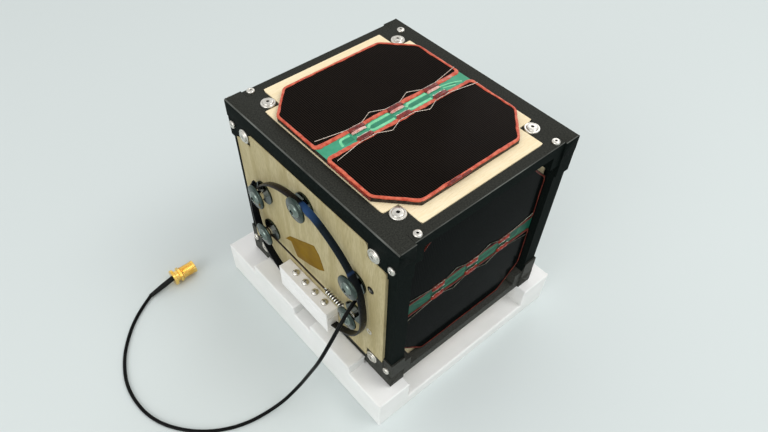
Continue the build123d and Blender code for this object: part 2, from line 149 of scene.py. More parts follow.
@dataclass(frozen=True, kw_only=True)
class Finish:
    """A surface finish, made as one material the first time that a piece asks for it."""

    name: str
    # Name of a material slot that goes with this finish
    slot: str = ""

    def material(self) -> Material:
        """Give the finish's material.

        Returns:
            The material, with its shader linked to its output.
        """
        found = bpy.data.materials.get(self.name)
        if found is None:
            found = bpy.data.materials.new(self.name)
            found.use_nodes = True
            tree = found.node_tree
            tree.nodes.clear()
            add(tree, "OutputMaterial", {"Surface": self.shade(tree).outputs[0]})
        return found

    def shade(self, tree: NodeTree) -> Node:
        """Build the finish's nodes and give its shader."""
        raise NotImplementedError


@dataclass(frozen=True, kw_only=True)
class Grained(Finish):
    """Two near colours in soft clouds, under a fine grain that only light shows."""

    colour: str
    mottle: str
    roughness: float
    mottle_size: float
    grain_size: float
    grain_depth: float

    def skin(self, tree: NodeTree, detail: float,
             spread: Pair) -> tuple[NodeSocket, ...]:
        """Build the nodes: a soft noise mixes the two colours, and a fine one is the bump.

        Args:
            tree: The material's node tree.
            detail: The soft noise's detail.
            spread: Values of that noise at which each colour is pure.

        Returns:
            The soft noise, the colour and the bumped normal.
        """
        where = add(tree, "TexCoord").outputs["Object"]
        cloud = add(tree, "TexNoise", {
            "Vector": where, "Scale": per_metre(self.mottle_size), "Detail": detail}).outputs[0]
        colour = add(tree, "ValToRGB", {0: cloud}, list(zip(spread, (self.colour, self.mottle))))
        grain = add(tree, "TexNoise", {"Vector": where, "Scale": per_metre(self.grain_size), "Detail": 2.0})
        bump = add(tree, "Bump", {"Height": grain.outputs[0], "Distance": self.grain_depth * MM})
        return cloud, colour.outputs[0], bump.outputs[0]


@dataclass(frozen=True, kw_only=True)
class Moulded(Grained):
    """A plastic, rubber, lacquer or anodic skin."""

    mottle_size: float = 6.0
    grain_size: float = 0.5
    grain_depth: float = 0.004
    specular: float = 0.5

    def shade(self, tree: NodeTree) -> Node:
        """Build the finish's nodes and give its shader, with one roughness all over."""
        _, colour, normal = self.skin(tree, 4.0, (0.36, 0.66))
        return add(tree, "BsdfPrincipled", {
            "Base Color": colour, "Roughness": self.roughness, "Specular IOR Level": self.specular,
            "Normal": normal})


@dataclass(frozen=True, kw_only=True)
class Metal(Grained):
    """A bare or plated metal, turned, drawn or polished."""

    mottle_size: float = 2.0
    grain_size: float = 0.15
    grain_depth: float = 0.002

    def shade(self, tree: NodeTree) -> Node:
        """Build the nodes: the clouds of the two colours are tool marks in the roughness too.

        Args:
            tree: The material's node tree.

        Returns:
            The shader.
        """
        cloud, colour, normal = self.skin(tree, 3.0, (0.35, 0.65))
        wear = add(tree, "MapRange", {
            "Value": cloud, "From Min": 0.3, "From Max": 0.7,
            "To Min": 0.75 * self.roughness, "To Max": 1.3 * self.roughness})
        return add(tree, "BsdfPrincipled", {
            "Base Color": colour, "Metallic": 1.0, "Roughness": wear.outputs[0], "Normal": normal})


@dataclass(frozen=True, kw_only=True)
class Wood(Finish):
    """Sanded bare wood: soft bands, fine fibres and faint short pores, all drawn out along the grain."""

    grain: Axis
    colour: str
    band: str
    fibre: str
    fibre_strength: float
    pore: str
    pore_strength: float
    roughness: float = 0.62
    band_width: float = 5.0
    fibre_width: float = 0.5
    fibre_depth: float = 0.02
    pore_width: float = 0.3
    stretch: float = 11.0
    specular: float = 0.25

    def shade(self, tree: NodeTree) -> Node:
        """Build the nodes: three noises, each drawn out along the grain by the stretch.

        Args:
            tree: The material's node tree.

        Returns:
            The shader.
        """
        where = add(tree, "TexCoord").outputs["Object"]
        scale = [1.0, 1.0, 1.0]
        scale[self.grain.value] = 1.0 / self.stretch
        drawn = add(tree, "Mapping", {"Vector": where, "Scale": scale}).outputs[0]
        bands = add(tree, "TexNoise", {
            "Vector": drawn, "Scale": per_metre(self.band_width), "Detail": 3.0, "Distortion": 0.6})
        base = add(tree, "ValToRGB", {0: bands.outputs[0]}, [(0.34, self.colour), (0.7, self.band)])
        fibres = add(tree, "TexNoise", {
            "Vector": drawn, "Scale": per_metre(self.fibre_width), "Detail": 4.0})
        strength = add(tree, "MapRange", {
            "Value": fibres.outputs[0], "From Min": 0.42, "From Max": 0.75, "To Max": self.fibre_strength})
        streaked = add(tree, "Mix", {
            0: strength.outputs[0], 6: base.outputs[0], 7: linear(self.fibre)}, data_type="RGBA")
        pores = add(tree, "TexNoise", {"Vector": drawn, "Scale": per_metre(self.pore_width), "Detail": 1.0})
        dots = add(tree, "MapRange", {
            "Value": pores.outputs[0], "From Min": 0.6, "From Max": 0.75, "To Max": self.pore_strength})
        colour = add(tree, "Mix", {
            0: dots.outputs[0], 6: streaked.outputs[2], 7: linear(self.pore)}, data_type="RGBA")
        bump = add(tree, "Bump", {
            "Height": fibres.outputs[0], "Distance": self.fibre_depth * MM, "Strength": 0.6})
        return add(tree, "BsdfPrincipled", {
            "Base Color": colour.outputs[2], "Roughness": self.roughness,
            "Specular IOR Level": self.specular, "Normal": bump.outputs[0]})


@dataclass(frozen=True, kw_only=True)
class CellGlass(Finish):
    """Cover glass over a near-black solar cell, whose fine silver fingers cross it side by side."""

    across: Axis
    colour: str
    glow: str
    finger: str
    specular: float
    # Real fingers are closer together; at this pitch they still show
    pitch: float = 0.95
    cloud_size: float = 20.0
    roughness: float = 0.15

    def shade(self, tree: NodeTree) -> Node:
        """Build the nodes: the distance to the nearest finger, as a triangle wave, picks the colour.

        Args:
            tree: The material's node tree.

        Returns:
            The shader.
        """
        where = add(tree, "TexCoord").outputs["Object"]
        place = add(tree, "SeparateXYZ", {0: where}).outputs[self.across.value]
        count = add(tree, "Math", {0: place, 1: per_metre(self.pitch)}, operation="MULTIPLY")
        wave = add(tree, "Math", {0: count.outputs[0], 1: 0.5}, operation="PINGPONG")
        mask = add(tree, "MapRange", {"Value": wave.outputs[0], "From Min": 0.18, "From Max": 0.08})
        cloud = add(tree, "TexNoise", {"Vector": where, "Scale": per_metre(self.cloud_size), "Detail": 2.0})
        dark = add(tree, "ValToRGB", {0: cloud.outputs[0]}, [(0.3, self.colour), (0.75, self.glow)])
        colour = add(tree, "Mix", {
            0: mask.outputs[0], 6: dark.outputs[0], 7: linear(self.finger)}, data_type="RGBA")
        return add(tree, "BsdfPrincipled", {
            "Base Color": colour.outputs[2], "Roughness": self.roughness,
            "Specular IOR Level": self.specular})


@dataclass(frozen=True, kw_only=True)
class TapeBlue(Finish):
    """Blued spring strip, whose colour changes along it. The mesh's own "run" attribute is the distance."""

    stops: tuple[tuple[float, str], ...]
    length: float
    scuff_size: float = 3.0
    roughness: float = 0.28
    specular: float = 0.12

    def shade(self, tree: NodeTree) -> Node:
        """Build the nodes: the distance along the strip picks a colour from the ramp.

        Args:
            tree: The material's node tree.

        Returns:
            The shader.
        """
        run = add(tree, "Attribute", attribute_name="run")
        share = add(tree, "Math", {0: run.outputs["Fac"], 1: 1.0 / self.length}, operation="MULTIPLY")
        colour = add(tree, "ValToRGB", {0: share.outputs[0]}, [
            (place / self.length, code) for place, code in self.stops])
        where = add(tree, "TexCoord").outputs["Object"]
        scuffs = add(tree, "TexNoise", {"Vector": where, "Scale": per_metre(self.scuff_size), "Detail": 4.0})
        wear = add(tree, "MapRange", {
            "Value": scuffs.outputs[0], "To Min": 0.6 * self.roughness, "To Max": 1.6 * self.roughness})
        return add(tree, "BsdfPrincipled", {
            "Base Color": colour.outputs[0], "Roughness": wear.outputs[0],
            "Specular IOR Level": self.specular})


# Black anodised aluminium on the level faces: a satin skin with a fine blasted grain, greyed by painted
# light from above
ANODISED = Moulded(name="anodised aluminium", slot="anodised_frame", colour="#292a27", mottle="#3b3c37",
                   roughness=0.45, mottle_size=0.6, grain_size=0.4, grain_depth=0.007, specular=0.02)
# The same skin on the upright faces: nearly black, a painted shade, and a little cold, a painted reflection
SHADED_ANODISED = replace(ANODISED, name="anodised aluminium, painted shade", colour="#101514", mottle="#191f1d",
                         roughness=0.5, grain_depth=0.012, specular=0.006)
# The same skin low down: a lighter grey, painted light reflected from the white plinth
LOW_ANODISED = replace(ANODISED, name="anodised aluminium, painted low light", colour="#383935", mottle="#474844",
                       mottle_size=0.8, grain_depth=0.012, specular=0.03)
# The same skin on its edges and slanting faces: a lighter grey line, a painted highlight, brighter in some
# places than others
EDGE_HIGHLIGHT = Moulded(name="anodised edge, painted highlight", slot="anodised_frame", colour="#393a36", mottle="#747772",
                    roughness=0.35, mottle_size=24.0, grain_size=0.3, specular=0.06)
# Pale hardwood, planed and sanded: almost no figure on the long faces
PALE_WOOD = Wood(name="sanded pale wood", slot="pale_wood", grain=Axis.Y, colour="#fff0cc", band="#f9e6be",
                 fibre="#ecd6a4", fibre_strength=0.5, pore="#d3b988", pore_strength=0.35)
# The same wood with its grain upright, a little darker: painted shade
UPRIGHT_WOOD = replace(PALE_WOOD, name="sanded pale wood, upright grain", grain=Axis.Z, colour="#f2e3bd",
                       band="#e9d6aa", fibre="#d9c08c", pore="#c0a474")
# The antenna face's panel: greyer and darker, a painted shade, and its grain shows more
FRONT_WOOD = Wood(name="sanded antenna panel", slot="antenna_wood", grain=Axis.Z, colour="#c6ba92",
                  band="#afa174", fibre="#998a60", fibre_strength=0.6, pore="#7d6d4b", pore_strength=0.35,
                  stretch=9.0)
# Cover glass on triple layer cells: near black, its coating kills the reflection, with fingers just showing
TOP_CELLS = CellGlass(name="cover glass", slot="solar_cell", across=Axis.Y, colour="#040303", glow="#0a0706",
                      finger="#2d2620", specular=0.014)
# The same on the sides: blacker, a painted shade, and colder, a painted reflection
SIDE_CELLS = replace(TOP_CELLS, name="cover glass, sides", colour="#020404", glow="#080b0b",
                     finger="#131716", specular=0.008)
# The same on the back, whose strip between the cells is upright
BACK_CELLS = replace(SIDE_CELLS, name="cover glass, back", across=Axis.Z)
# Sawn edge of the bonded board: dark brown, with pale glass threads
BOARD_CORE = Moulded(name="sawn board edge", slot="circuit_board", colour="#1b1410", mottle="#4a4036",
                     roughness=0.5, mottle_size=1.6, specular=0.2)
# Green solder mask over glass-fibre board: smooth and slightly glossy
SOLDER_MASK = Moulded(name="green solder mask", slot="circuit_board", colour="#369470", mottle="#43a280",
                      roughness=0.34, mottle_size=5.0, specular=0.3)
# The same mask on the sides, deeper and darker: painted shade
SHADED_SIDE_MASK = replace(SOLDER_MASK, name="green solder mask, sides", colour="#114636", mottle="#195845",
                    specular=0.06)
# The mask over bare laminate between the lines: darker
DARK_MASK = replace(SOLDER_MASK, name="solder mask over laminate", colour="#277a5b", mottle="#2f8a69",
                    mottle_size=3.0)
# The mask where a copper trace lies under it: paler and yellower
TRACE_MASK = replace(SOLDER_MASK, name="solder mask over copper", colour="#72cf99", mottle="#8fe0b0",
                     roughness=0.32, mottle_size=2.0)
# The sides' mask over its copper, darker: painted shade
SHADED_SIDE_TRACE = replace(TRACE_MASK, name="solder mask over copper, sides", colour="#1f6148", mottle="#2b7556",
                     specular=0.06)
# Silicone sealant: orange-red rubber, wet-looking, uneven
SEALANT = Moulded(name="silicone sealant", slot="silicone", colour="#bb4229", mottle="#de7054",
                  roughness=0.3, mottle_size=2.2, grain_size=0.9, grain_depth=0.05, specular=0.35)
# The same bead on the sides, laid thinner, and darker: painted shade
SHADED_THIN_SEALANT = replace(SEALANT, name="silicone sealant, sides", colour="#4c170f", mottle="#6c291b",
                       roughness=0.34, mottle_size=2.0, specular=0.08)
# The same sealant laid thick over the tabs: deeper red and glossier
THICK_SEALANT = replace(SEALANT, name="thick silicone sealant", colour="#5c120a", mottle="#8f281a",
                        roughness=0.12, mottle_size=2.4, grain_size=1.4, grain_depth=0.07, specular=0.4)
# The same on the sides: wet and glossy
SIDE_SEALANT = replace(SEALANT, name="thick silicone sealant, sides", colour="#701a10", mottle="#9c3423",
                       roughness=0.12, mottle_size=1.6, grain_size=0.8, specular=0.1)
# A cell tab smeared with sealant: pink where it is thin, near white where the metal shows and where a
# painted highlight of wet sealant lies
SMEARED_TAB_AND_HIGHLIGHT = replace(SEALANT, name="smeared tab and painted highlight", colour="#c4604f", mottle="#f2cfc6",
                      roughness=0.2, mottle_size=4.5, grain_size=1.2, grain_depth=0.03)
# Stainless steel screws: machined, pale grey, soft highlights
STAINLESS = Metal(name="stainless steel", slot="stainless_screw", colour="#c6c3bb", mottle="#dedbd3",
                  roughness=0.26)
# Turned and polished steel: nearly a mirror, dark and green-grey, a painted reflection
POLISHED = Metal(name="polished steel", slot="polished_steel", colour="#36413d", mottle="#4a5651",
                 roughness=0.16, mottle_size=4.0, grain_depth=0.0008)
# The buttons on the same heads: a little lighter, with small sharp highlights; their green-grey is a painted
# reflection too
BUTTON_STEEL = replace(POLISHED, name="polished steel, buttons", colour="#6a7670", mottle="#848f89",
                       roughness=0.09, mottle_size=3.0, grain_depth=0.001)
# The same steel where it is round: bright
BRIGHT_STEEL = replace(POLISHED, name="bright polished steel", colour="#c9c8c0", mottle="#e4e2da",
                       mottle_size=3.0, grain_depth=0.001)
# Silver-plated tab and wire: bright and soft
SILVER = Metal(name="silver-plated copper", slot="spring_wire", colour="#cbbfb0", mottle="#ece2d4",
               roughness=0.28, mottle_size=1.0)
# Tinned wire on the sides, darker: painted shade
SHADED_SIDE_WIRE = replace(SILVER, name="tinned wire, sides", colour="#4e4e42", mottle="#76756a", roughness=0.35,
                    mottle_size=1.5)
# Drawn spring wire
SPRING_STEEL = replace(SILVER, name="drawn spring steel", colour="#d5d4cd", mottle="#efeee7",
                       roughness=0.24)
# Gold plate over brass: warm, rich and bright
GOLD = Metal(name="gold plate", slot="gold_plate", colour="#efbb50", mottle="#fbda84", roughness=0.2,
             mottle_size=6.0)
# Milled white nylon: matt, with a warm cast
NYLON = Moulded(name="milled white nylon", slot="white_nylon", colour="#f8f7f4", mottle="#fdfcfa",
                roughness=0.45, mottle_size=5.0, specular=0.3)
# The plinth's white plastic: matt and cloudy, like printed or frosted stock
PLINTH_WHITE = Moulded(name="cloudy white plastic", slot="plinth_plastic", colour="#f4f5f2",
                       mottle="#fafaf8", roughness=0.5, mottle_size=16.0, grain_size=1.2, grain_depth=0.03,
                       specular=0.3)
# Clear amber polyimide film over wood: an olive gold
AMBER = Moulded(name="amber polyimide film", slot="amber_film", colour="#7a5a02", mottle="#886807",
                roughness=0.3, mottle_size=7.0, specular=0.03)
# Dark nylon monofilament: brown, with a soft shine
LINE_NYLON = Moulded(name="dark monofilament", slot="nylon_line", colour="#1e140d", mottle="#3a2a1e",
                     roughness=0.35, specular=0.3)
# Coax jacket: smooth black, satin
JACKET = Moulded(name="black coax jacket", slot="black_jacket", colour="#070808", mottle="#0f1010",
                 roughness=0.3, mottle_size=3.0, specular=0.08)
# Heat-shrunk sleeve: black, a touch duller
SLEEVE = Moulded(name="heat-shrunk sleeve", slot="black_sleeve", colour="#0f1010", mottle="#181919",
                 roughness=0.42, mottle_size=2.0, grain_depth=0.02, specular=0.15)
# Fluoropolymer insulator: white and waxy
INSULATOR = Moulded(name="white fluoropolymer", slot="white_insulator", colour="#ece8df", mottle="#f2efe8",
                    roughness=0.4)
# Black oxide: the gland and the ring of one insert; the same black is painted shade at the bottom of the
# screws' sockets
BLACK_OXIDE_AND_SHADE = Moulded(name="black oxide and painted shade", slot="black_jacket", colour="#070707", mottle="#121110",
                      roughness=0.4, specular=0.15)


@dataclass(frozen=True)
class Placement:
    """A local frame in the part's frame: its origin, its X direction and its outward Z direction."""

    origin: Point
    along: Point
    out: Point

    def put(self, points: np.ndarray) -> np.ndarray:
        """Give local points in the part's frame: origin + x along + y (out × along) + z out.

        Args:
            points: Local points, in millimetres, with their coordinates last.

        Returns:
            The same points in the part's frame, in millimetres.
        """
        across = np.cross(self.out, self.along)
        return np.asarray(self.origin) + points @ np.array((self.along, across, self.out))

    def at(self, x: float, y: float) -> "Placement":
        """Give the same directions about another point of the local plane Z = 0."""
        return Placement(tuple(self.put(np.array((x, y, 0.0)))), self.along, self.out)

    def mirrored(self, x: float, y: float) -> list["Placement"]:
        """Give the same directions about the four points at plus and minus x and y."""
        return [self.at(a * x, b * y) for a in (-1, 1) for b in (-1, 1)]


def side_place(out: tuple[int, int, int], reach: float = CUBE_HALF) -> Placement:
    """Give the local frame in the middle of a long side of the cube, at a distance from its middle."""
    return Placement(tuple(satellite(0, 0, CUBE_HALF) + reach * np.array(out)), (1, 0, 0), out)


def front_place(x: float, z: float, height: float = 0.0) -> Placement:
    """Give the local frame at a place on the front panel, with its way out along -Y."""
    return Placement(tuple(satellite(x, -FRONT_FACE - height, z)), (1, 0, 0), (0, -1, 0))


@dataclass
class Shell:
    """A surface being made: its points in millimetres, its faces, and a distance along it at each point."""

    points: np.ndarray
    faces: np.ndarray
    run: np.ndarray

    @classmethod
    def grid(cls, points: np.ndarray, wrap_rows: bool = False, run: np.ndarray | None = None) -> "Shell":
        """Join a grid of closed rows by four-sided faces: a point, the next in its row, and the two after.

        Args:
            points: Points as rows, columns, coordinates.
            wrap_rows: Whether the last row joins the first.
            run: A distance for each row, kept on the mesh.

        Returns:
            The shell.
        """
        rows, columns = points.shape[:2]
        r = np.arange(rows if wrap_rows else rows - 1)[:, None]
        c = np.arange(columns)[None, :]
        r2, c2 = (r + 1) % rows, (c + 1) % columns
        quads = np.stack([r * columns + c, r * columns + c2, r2 * columns + c2, r2 * columns + c], axis=-1)
        distance = np.zeros(rows) if run is None else np.asarray(run)
        return cls(points.reshape(-1, 3), quads.reshape(-1, 4), np.repeat(distance, columns))

    @classmethod
    def joined(cls, shells: Iterable["Shell"]) -> "Shell":
        """Put several shells in one."""
        parts = list(shells)
        starts = np.cumsum([0] + [len(part.points) for part in parts])
        return cls(
            np.concatenate([part.points for part in parts]),
            np.concatenate([part.faces + start for part, start in zip(parts, starts)]),
            np.concatenate([part.run for part in parts]),
        )

    def placed(self, placement: Placement) -> "Shell":
        """Give the shell in the part's frame, from a local frame."""
        return Shell(placement.put(self.points), self.faces, self.run)

    def at_each(self, placements: Iterable[Placement]) -> list["Shell"]:
        """Give the shell in the part's frame, once from each of several local frames."""
        return [self.placed(placement) for placement in placements]

    def seated(self) -> "Shell":
        """Give the shell in the part's frame, from the satellite's own."""
        return Shell(self.points + SEAT, self.faces, self.run)


def unit(vectors: np.ndarray) -> np.ndarray:
    """Give vectors, one in each row, a length of one."""
    return vectors / np.linalg.norm(vectors, axis=1, keepdims=True)


def distances(path: np.ndarray) -> np.ndarray:
    """Give the distance along a path at each of its points: the sum of the steps up to it."""
    return np.concatenate([[0.0], np.cumsum(np.linalg.norm(np.diff(path, axis=0), axis=1))])


def raised(points: np.ndarray, height: float = 0.0) -> np.ndarray:
    """Give flat points a height as their third coordinate."""
    return np.concatenate([points, np.full((len(points), 1), height)], axis=1)


def domed(radius: float, foot: float, top: float, degrees: Sequence[float]) -> list[Pair]:
    """Give a dome's profile: r = radius cos a, z = foot + (top - foot) sin a, at angles up from its rim."""
    angles = np.radians(degrees)
    return [(radius * math.cos(a), foot + (top - foot) * math.sin(a)) for a in angles]


def turned(profile: Line, steps: int = 48, key: float = 0.0,
           key_from: int | None = None) -> Shell:
    """Turn a profile about Z: x = r cos t, y = r sin t, z as given.

    From one point of the profile on, r is instead the distance to a hexagon's side at that angle,
    r = (key / 2) / cos(angle from the middle of that side), times the given radius.

    Args:
        profile: Radius and height of each ring, in millimetres; a radius of 0 closes the end.
        steps: Points round each ring.
        key: Hexagon's width across flats.
        key_from: Number of the first ring that follows the hexagon, whose radii are shares of its size;
            with none, every ring is round.

    Returns:
        The shell, about the local origin.
    """
    angle = np.arange(steps) * TURN / steps
    radius, height = np.array(profile).T
    sector = TURN / 6
    hexagon = 0.5 * key / np.cos((angle + sector / 2) % sector - sector / 2)
    follows = np.arange(len(radius))[:, None] >= (len(radius) if key_from is None else key_from)
    reach = np.where(follows, radius[:, None] * hexagon, radius[:, None] * np.ones(steps))
    level = np.repeat(height[:, None], steps, axis=1)
    return Shell.grid(np.stack([reach * np.cos(angle), reach * np.sin(angle), level], -1))


def swept(path: np.ndarray, side: np.ndarray, up: np.ndarray, section: np.ndarray,
          closed: bool = False) -> Shell:
    """Carry a closed section along a path: point = path + a side + b up, with both ends drawn to the path.

    Args:
        path: Points of the path, in order.
        side: Direction of the section's first coordinate at each point, or one for all.
        up: Direction of its second coordinate, the same way.
        section: Coordinates of the section's corners, one set for all points or one for each.
        closed: Whether the path's end joins its start.

    Returns:
        The shell, with the distance along the path as its run.
    """
    section = np.broadcast_to(section, (len(path), *section.shape[-2:]))
    side = np.broadcast_to(side, path.shape)[:, None]
    up = np.broadcast_to(up, path.shape)[:, None]
    rows = path[:, None] + section[..., :1] * side + section[..., 1:] * up
    run = distances(path)
    if not closed:
        ends = [np.repeat(row.mean(0)[None, None], rows.shape[1], 1) for row in (rows[0], rows[-1])]
        rows = np.concatenate([ends[0], rows, ends[1]])
        run = np.concatenate([run[:1], run, run[-1:]])
    return Shell.grid(rows, wrap_rows=closed, run=run)


def ring_section(radius: float, steps: int = 10) -> np.ndarray:
    """Give a circle's points as a section."""
    angle = np.arange(steps) * TURN / steps
    return radius * np.stack([np.cos(angle), np.sin(angle)], -1)


def flat_section(width: float, height: float) -> np.ndarray:
    """Give a rectangle's corners as a section, centred on the path and standing on it."""
    w = width / 2
    return np.array([(-w, 0.0), (w, 0.0), (w, height), (-w, height)])


def eased(corners: Sequence[Sequence[float]], per_corner: int = 8) -> np.ndarray:
    """Smooth a run of corners: from middle m to middle m' about a corner p, (1-t)²m + 2t(1-t)p + t²m'.

    Args:
        corners: The corners, in order; the first and last are kept.
        per_corner: Points on each curve.

    Returns:
        Points along the smoothed run.
    """
    p = np.array(corners, float)
    middles = (p[1:] + p[:-1])[1:-1] / 2
    start, hub, finish = np.concatenate([p[:1], middles]), p[1:-1], np.concatenate([middles, p[-1:]])
    t = np.linspace(0, 1, per_corner, endpoint=False)[None, :, None]
    curve = (1 - t) ** 2 * start[:, None] + 2 * t * (1 - t) * hub[:, None] + t ** 2 * finish[:, None]
    return np.concatenate([curve.reshape(-1, p.shape[1]), p[-1:]])


def planar_tube(path: np.ndarray, up: Sequence[float], section: np.ndarray) -> Shell:
    """Sweep a section along a path in the plane square to a direction; side = direction of travel × up.

    Args:
        path: Points of the path.
        up: The direction square to its plane.
        section: The section, its second coordinate along that direction.

    Returns:
        The shell.
    """
    side = unit(np.cross(np.gradient(path, axis=0), up))
    return swept(path, side, np.array(up, float), section)


def link_object(name: str, data: ID) -> Object:
    """Put an object that holds the data in the scene."""
    made = bpy.data.objects.new(name, data)
    bpy.context.scene.collection.objects.link(made)
    return made


def stand_in(name: str, data: Mesh | Curve, finishes: Sequence[Finish],
             replaces: Sequence[str] = ()) -> Object:
    """Put a mesh or a curve in the scene as a piece that rides on the satellite's body.

    Args:
        name: The piece's name.
        data: Its mesh or curve, with its place in it.
        finishes: Its finishes.
        replaces: CAD nodes that it stands for.

    Returns:
        The object.
    """
    for finish in finishes:
        data.materials.append(finish.material())
    piece = link_object(name, data)
    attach(piece, ROOT)
    if replaces:
        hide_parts(*replaces)
    LOG.info("%s: made in %s", name, finishes[0].name)
    return piece


def write_back(work: BMesh, mesh: Mesh) -> None:
    """Write the work back to its mesh, shaded smooth but for the edges that turn sharply."""
    work.to_mesh(mesh)
    work.free()
    mesh.polygons.foreach_set("use_smooth", np.ones(len(mesh.polygons), bool))
    mesh.set_sharp_from_angle(angle=math.radians(CREASE))


def make_piece(name: str, shells: Shell | Iterable[Shell], finish: Finish,
               replaces: Sequence[str] = ()) -> Object:
    """Write shells as one piece that rides on the satellite's body.

    Args:
        name: The piece's name.
        shells: What it is made of, in the part's frame and millimetres.
        finish: Its finish.
        replaces: CAD nodes that it stands for.

    Returns:
        The object.
    """
    shell = shells if isinstance(shells, Shell) else Shell.joined(shells)
    mesh = bpy.data.meshes.new(name)
    mesh.from_pydata((shell.points * MM).tolist(), [], shell.faces.tolist())
    mesh.attributes.new("run", "FLOAT", "POINT").data.foreach_set("value", shell.run.astype(np.float32))
    work = bmesh.new()
    work.from_mesh(mesh)
    bmesh.ops.remove_doubles(work, verts=work.verts, dist=MERGE * MM)
    bmesh.ops.dissolve_degenerate(work, edges=work.edges, dist=MERGE * MM)
    bmesh.ops.recalc_face_normals(work, faces=work.faces)
    write_back(work, mesh)
    return stand_in(name, mesh, [finish], replaces)


def dress(node: str, finish: Finish) -> Object:
    """Give a CAD node its finish.

    Args:
        node: The node's name.
        finish: The finish.

    Returns:
        The node's object.
    """
    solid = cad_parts[node]
    solid.data.materials.clear()
    solid.data.materials.append(finish.material())
    LOG.info("%s: dressed in %s", node, finish.name)
    return solid


@dataclass(frozen=True)
class Softening:
    """How a solid's outward edges are softened, in millimetres."""

    width: float
    segments: int = 2
    # Width for the edges that run along one axis
    corner: float = 0.0
    corner_way: Axis = Axis.Z
    # Whether only the rims of the cube's top and bottom are softened
    rims_only: bool = False
    # A face is at the outside when it lies further from the cube's middle than this, along each axis
    outside: Point = (55.0, 48.5, 49.5)
    # An edge that turns less than this many degrees, or is shorter, stays as it is
    least_turn: float = 40.0
    least_length: float = 0.6

    def is_outer(self, face: BMFace) -> bool:
        """Tell whether a face is at the outside of the cube."""
        middle = Vector(satellite(0, 0, CUBE_HALF) * MM)
        reach = face.normal.dot(face.calc_center_median() - middle)
        axis = max(range(3), key=lambda k: abs(face.normal[k]))
        return reach > self.outside[axis] * MM

    def share(self, edge: BMEdge) -> float:
        """Give an edge's width as a share of the greatest one.

        Args:
            edge: An edge of the merged mesh.

        Returns:
            The share, 0 for an edge that stays sharp.
        """
        if not edge.is_convex or edge.calc_face_angle() < math.radians(self.least_turn):
            return 0.0
        if edge.calc_length() < self.least_length * MM:
            return 0.0
        if self.rims_only:
            level = any(abs(face.normal.z) > ALONG for face in edge.link_faces)
            if not level or not all(self.is_outer(face) for face in edge.link_faces):
                return 0.0
        way = (edge.verts[1].co - edge.verts[0].co).normalized()
        chosen = self.corner if self.corner and abs(way[self.corner_way.value]) > ALONG else self.width
        return chosen / max(self.corner, self.width)


def soften(node: str, softening: Softening, *finishes: Finish, slide: float = 0.0) -> Object:
    """Stand a copy with soft edges in for a CAD node.

    The copy's loose triangles are merged at their corners and laid anew where they lie in one plane. Its
    slanting faces take the edges' finish too.

    Args:
        node: The node's name.
        softening: Which edges are softened, and by how much.
        *finishes: The finish, and where they differ those of the softened edges, of the upright faces,
            and of the faces whose middle is lower than LOW_FACES.
        slide: How far the copy is laid along Y from the solid, in millimetres.

    Returns:
        The copy.
    """
    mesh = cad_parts[node].data.copy()
    mesh.materials.clear()
    work = bmesh.new()
    work.from_mesh(mesh)
    bmesh.ops.translate(work, verts=work.verts, vec=(0.0, slide * MM, 0.0))
    bmesh.ops.remove_doubles(work, verts=work.verts, dist=COPY_MERGE * MM)
    bmesh.ops.dissolve_limit(work, angle_limit=math.radians(1), verts=work.verts, edges=work.edges)
    bmesh.ops.triangulate(work, faces=[face for face in work.faces if len(face.verts) > 4])
    weight = work.edges.layers.float.new("bevel_weight_edge")
    for edge in work.edges:
        edge[weight] = softening.share(edge)
    level, edges, upright, low = (min(number, len(finishes) - 1) for number in range(4))
    for face in work.faces:
        slope = abs(face.normal.z)
        face.material_index = level if slope >= ALONG else edges if slope > SLANTING else upright
        if low > upright and face.calc_center_median().z < LOW_FACES * MM:
            face.material_index = low
    write_back(work, mesh)
    copy = stand_in(node + "_softened", mesh, finishes, [node])
    bevel = copy.modifiers.new("soft edges", "BEVEL")
    bevel.width = max(softening.width, softening.corner) * MM
    bevel.segments = softening.segments
    bevel.limit_method = "WEIGHT"
    bevel.use_clamp_overlap = not softening.corner
    bevel.material = edges
    # The large faces decide the normals at their corners, so they look flat
    even = copy.modifiers.new("even normals", "WEIGHTED_NORMAL")
    even.mode = "FACE_AREA"
    even.weight = 100
    even.keep_sharp = True
    return copy


def shade_disc(key: float, height: float) -> Shell:
    """Give a thin hexagon that fills a key socket at a height; in a black finish it is painted shade."""
    rings = [(0.0, height - 0.2), (1.0, height - 0.2), (1.0, height), (0.0, height)]
    return turned(rings, steps=24, key=key, key_from=0)


@dataclass
class CubeFrame:
    """Anodised rails and end frames, with the wooden panels between them."""

    rails: tuple[str, ...] = ("rail_back_upper", "rail_back_lower", "rail_front_upper", "rail_front_lower")
    end_frames: tuple[str, ...] = ("end_frame_right", "end_frame_left")
    level_panels: tuple[str, ...] = ("panel_top", "panel_bottom")
    upright_panels: tuple[str, ...] = ("panel_back", "panel_right", "panel_left")
    rims: Softening = Softening(0.3, rims_only=True)
    level_edges: Softening = Softening(0.35, 4, corner=1.8, corner_way=Axis.Z)
    upright_edges: Softening = Softening(0.35, 2)
    front_edges: Softening = Softening(0.35, 4, corner=2.0, corner_way=Axis.Y)

    def build(self) -> None:
        """Soften and dress the frame and its panels, and dress the block inside."""
        for node in (*self.rails, *self.end_frames):
            # The frame's faces carry painted light: a lighter grey on level faces, a painted highlight on
            # edges, painted shade upright, painted reflected light low down
            soften(node, self.rims, ANODISED, EDGE_HIGHLIGHT, SHADED_ANODISED, LOW_ANODISED)
        for node in self.level_panels:
            soften(node, self.level_edges, PALE_WOOD)
        for node in self.upright_panels:
            soften(node, self.upright_edges, UPRIGHT_WOOD)
        soften("panel_front", self.front_edges, FRONT_WOOD)
        dress("electronics", SOLDER_MASK)


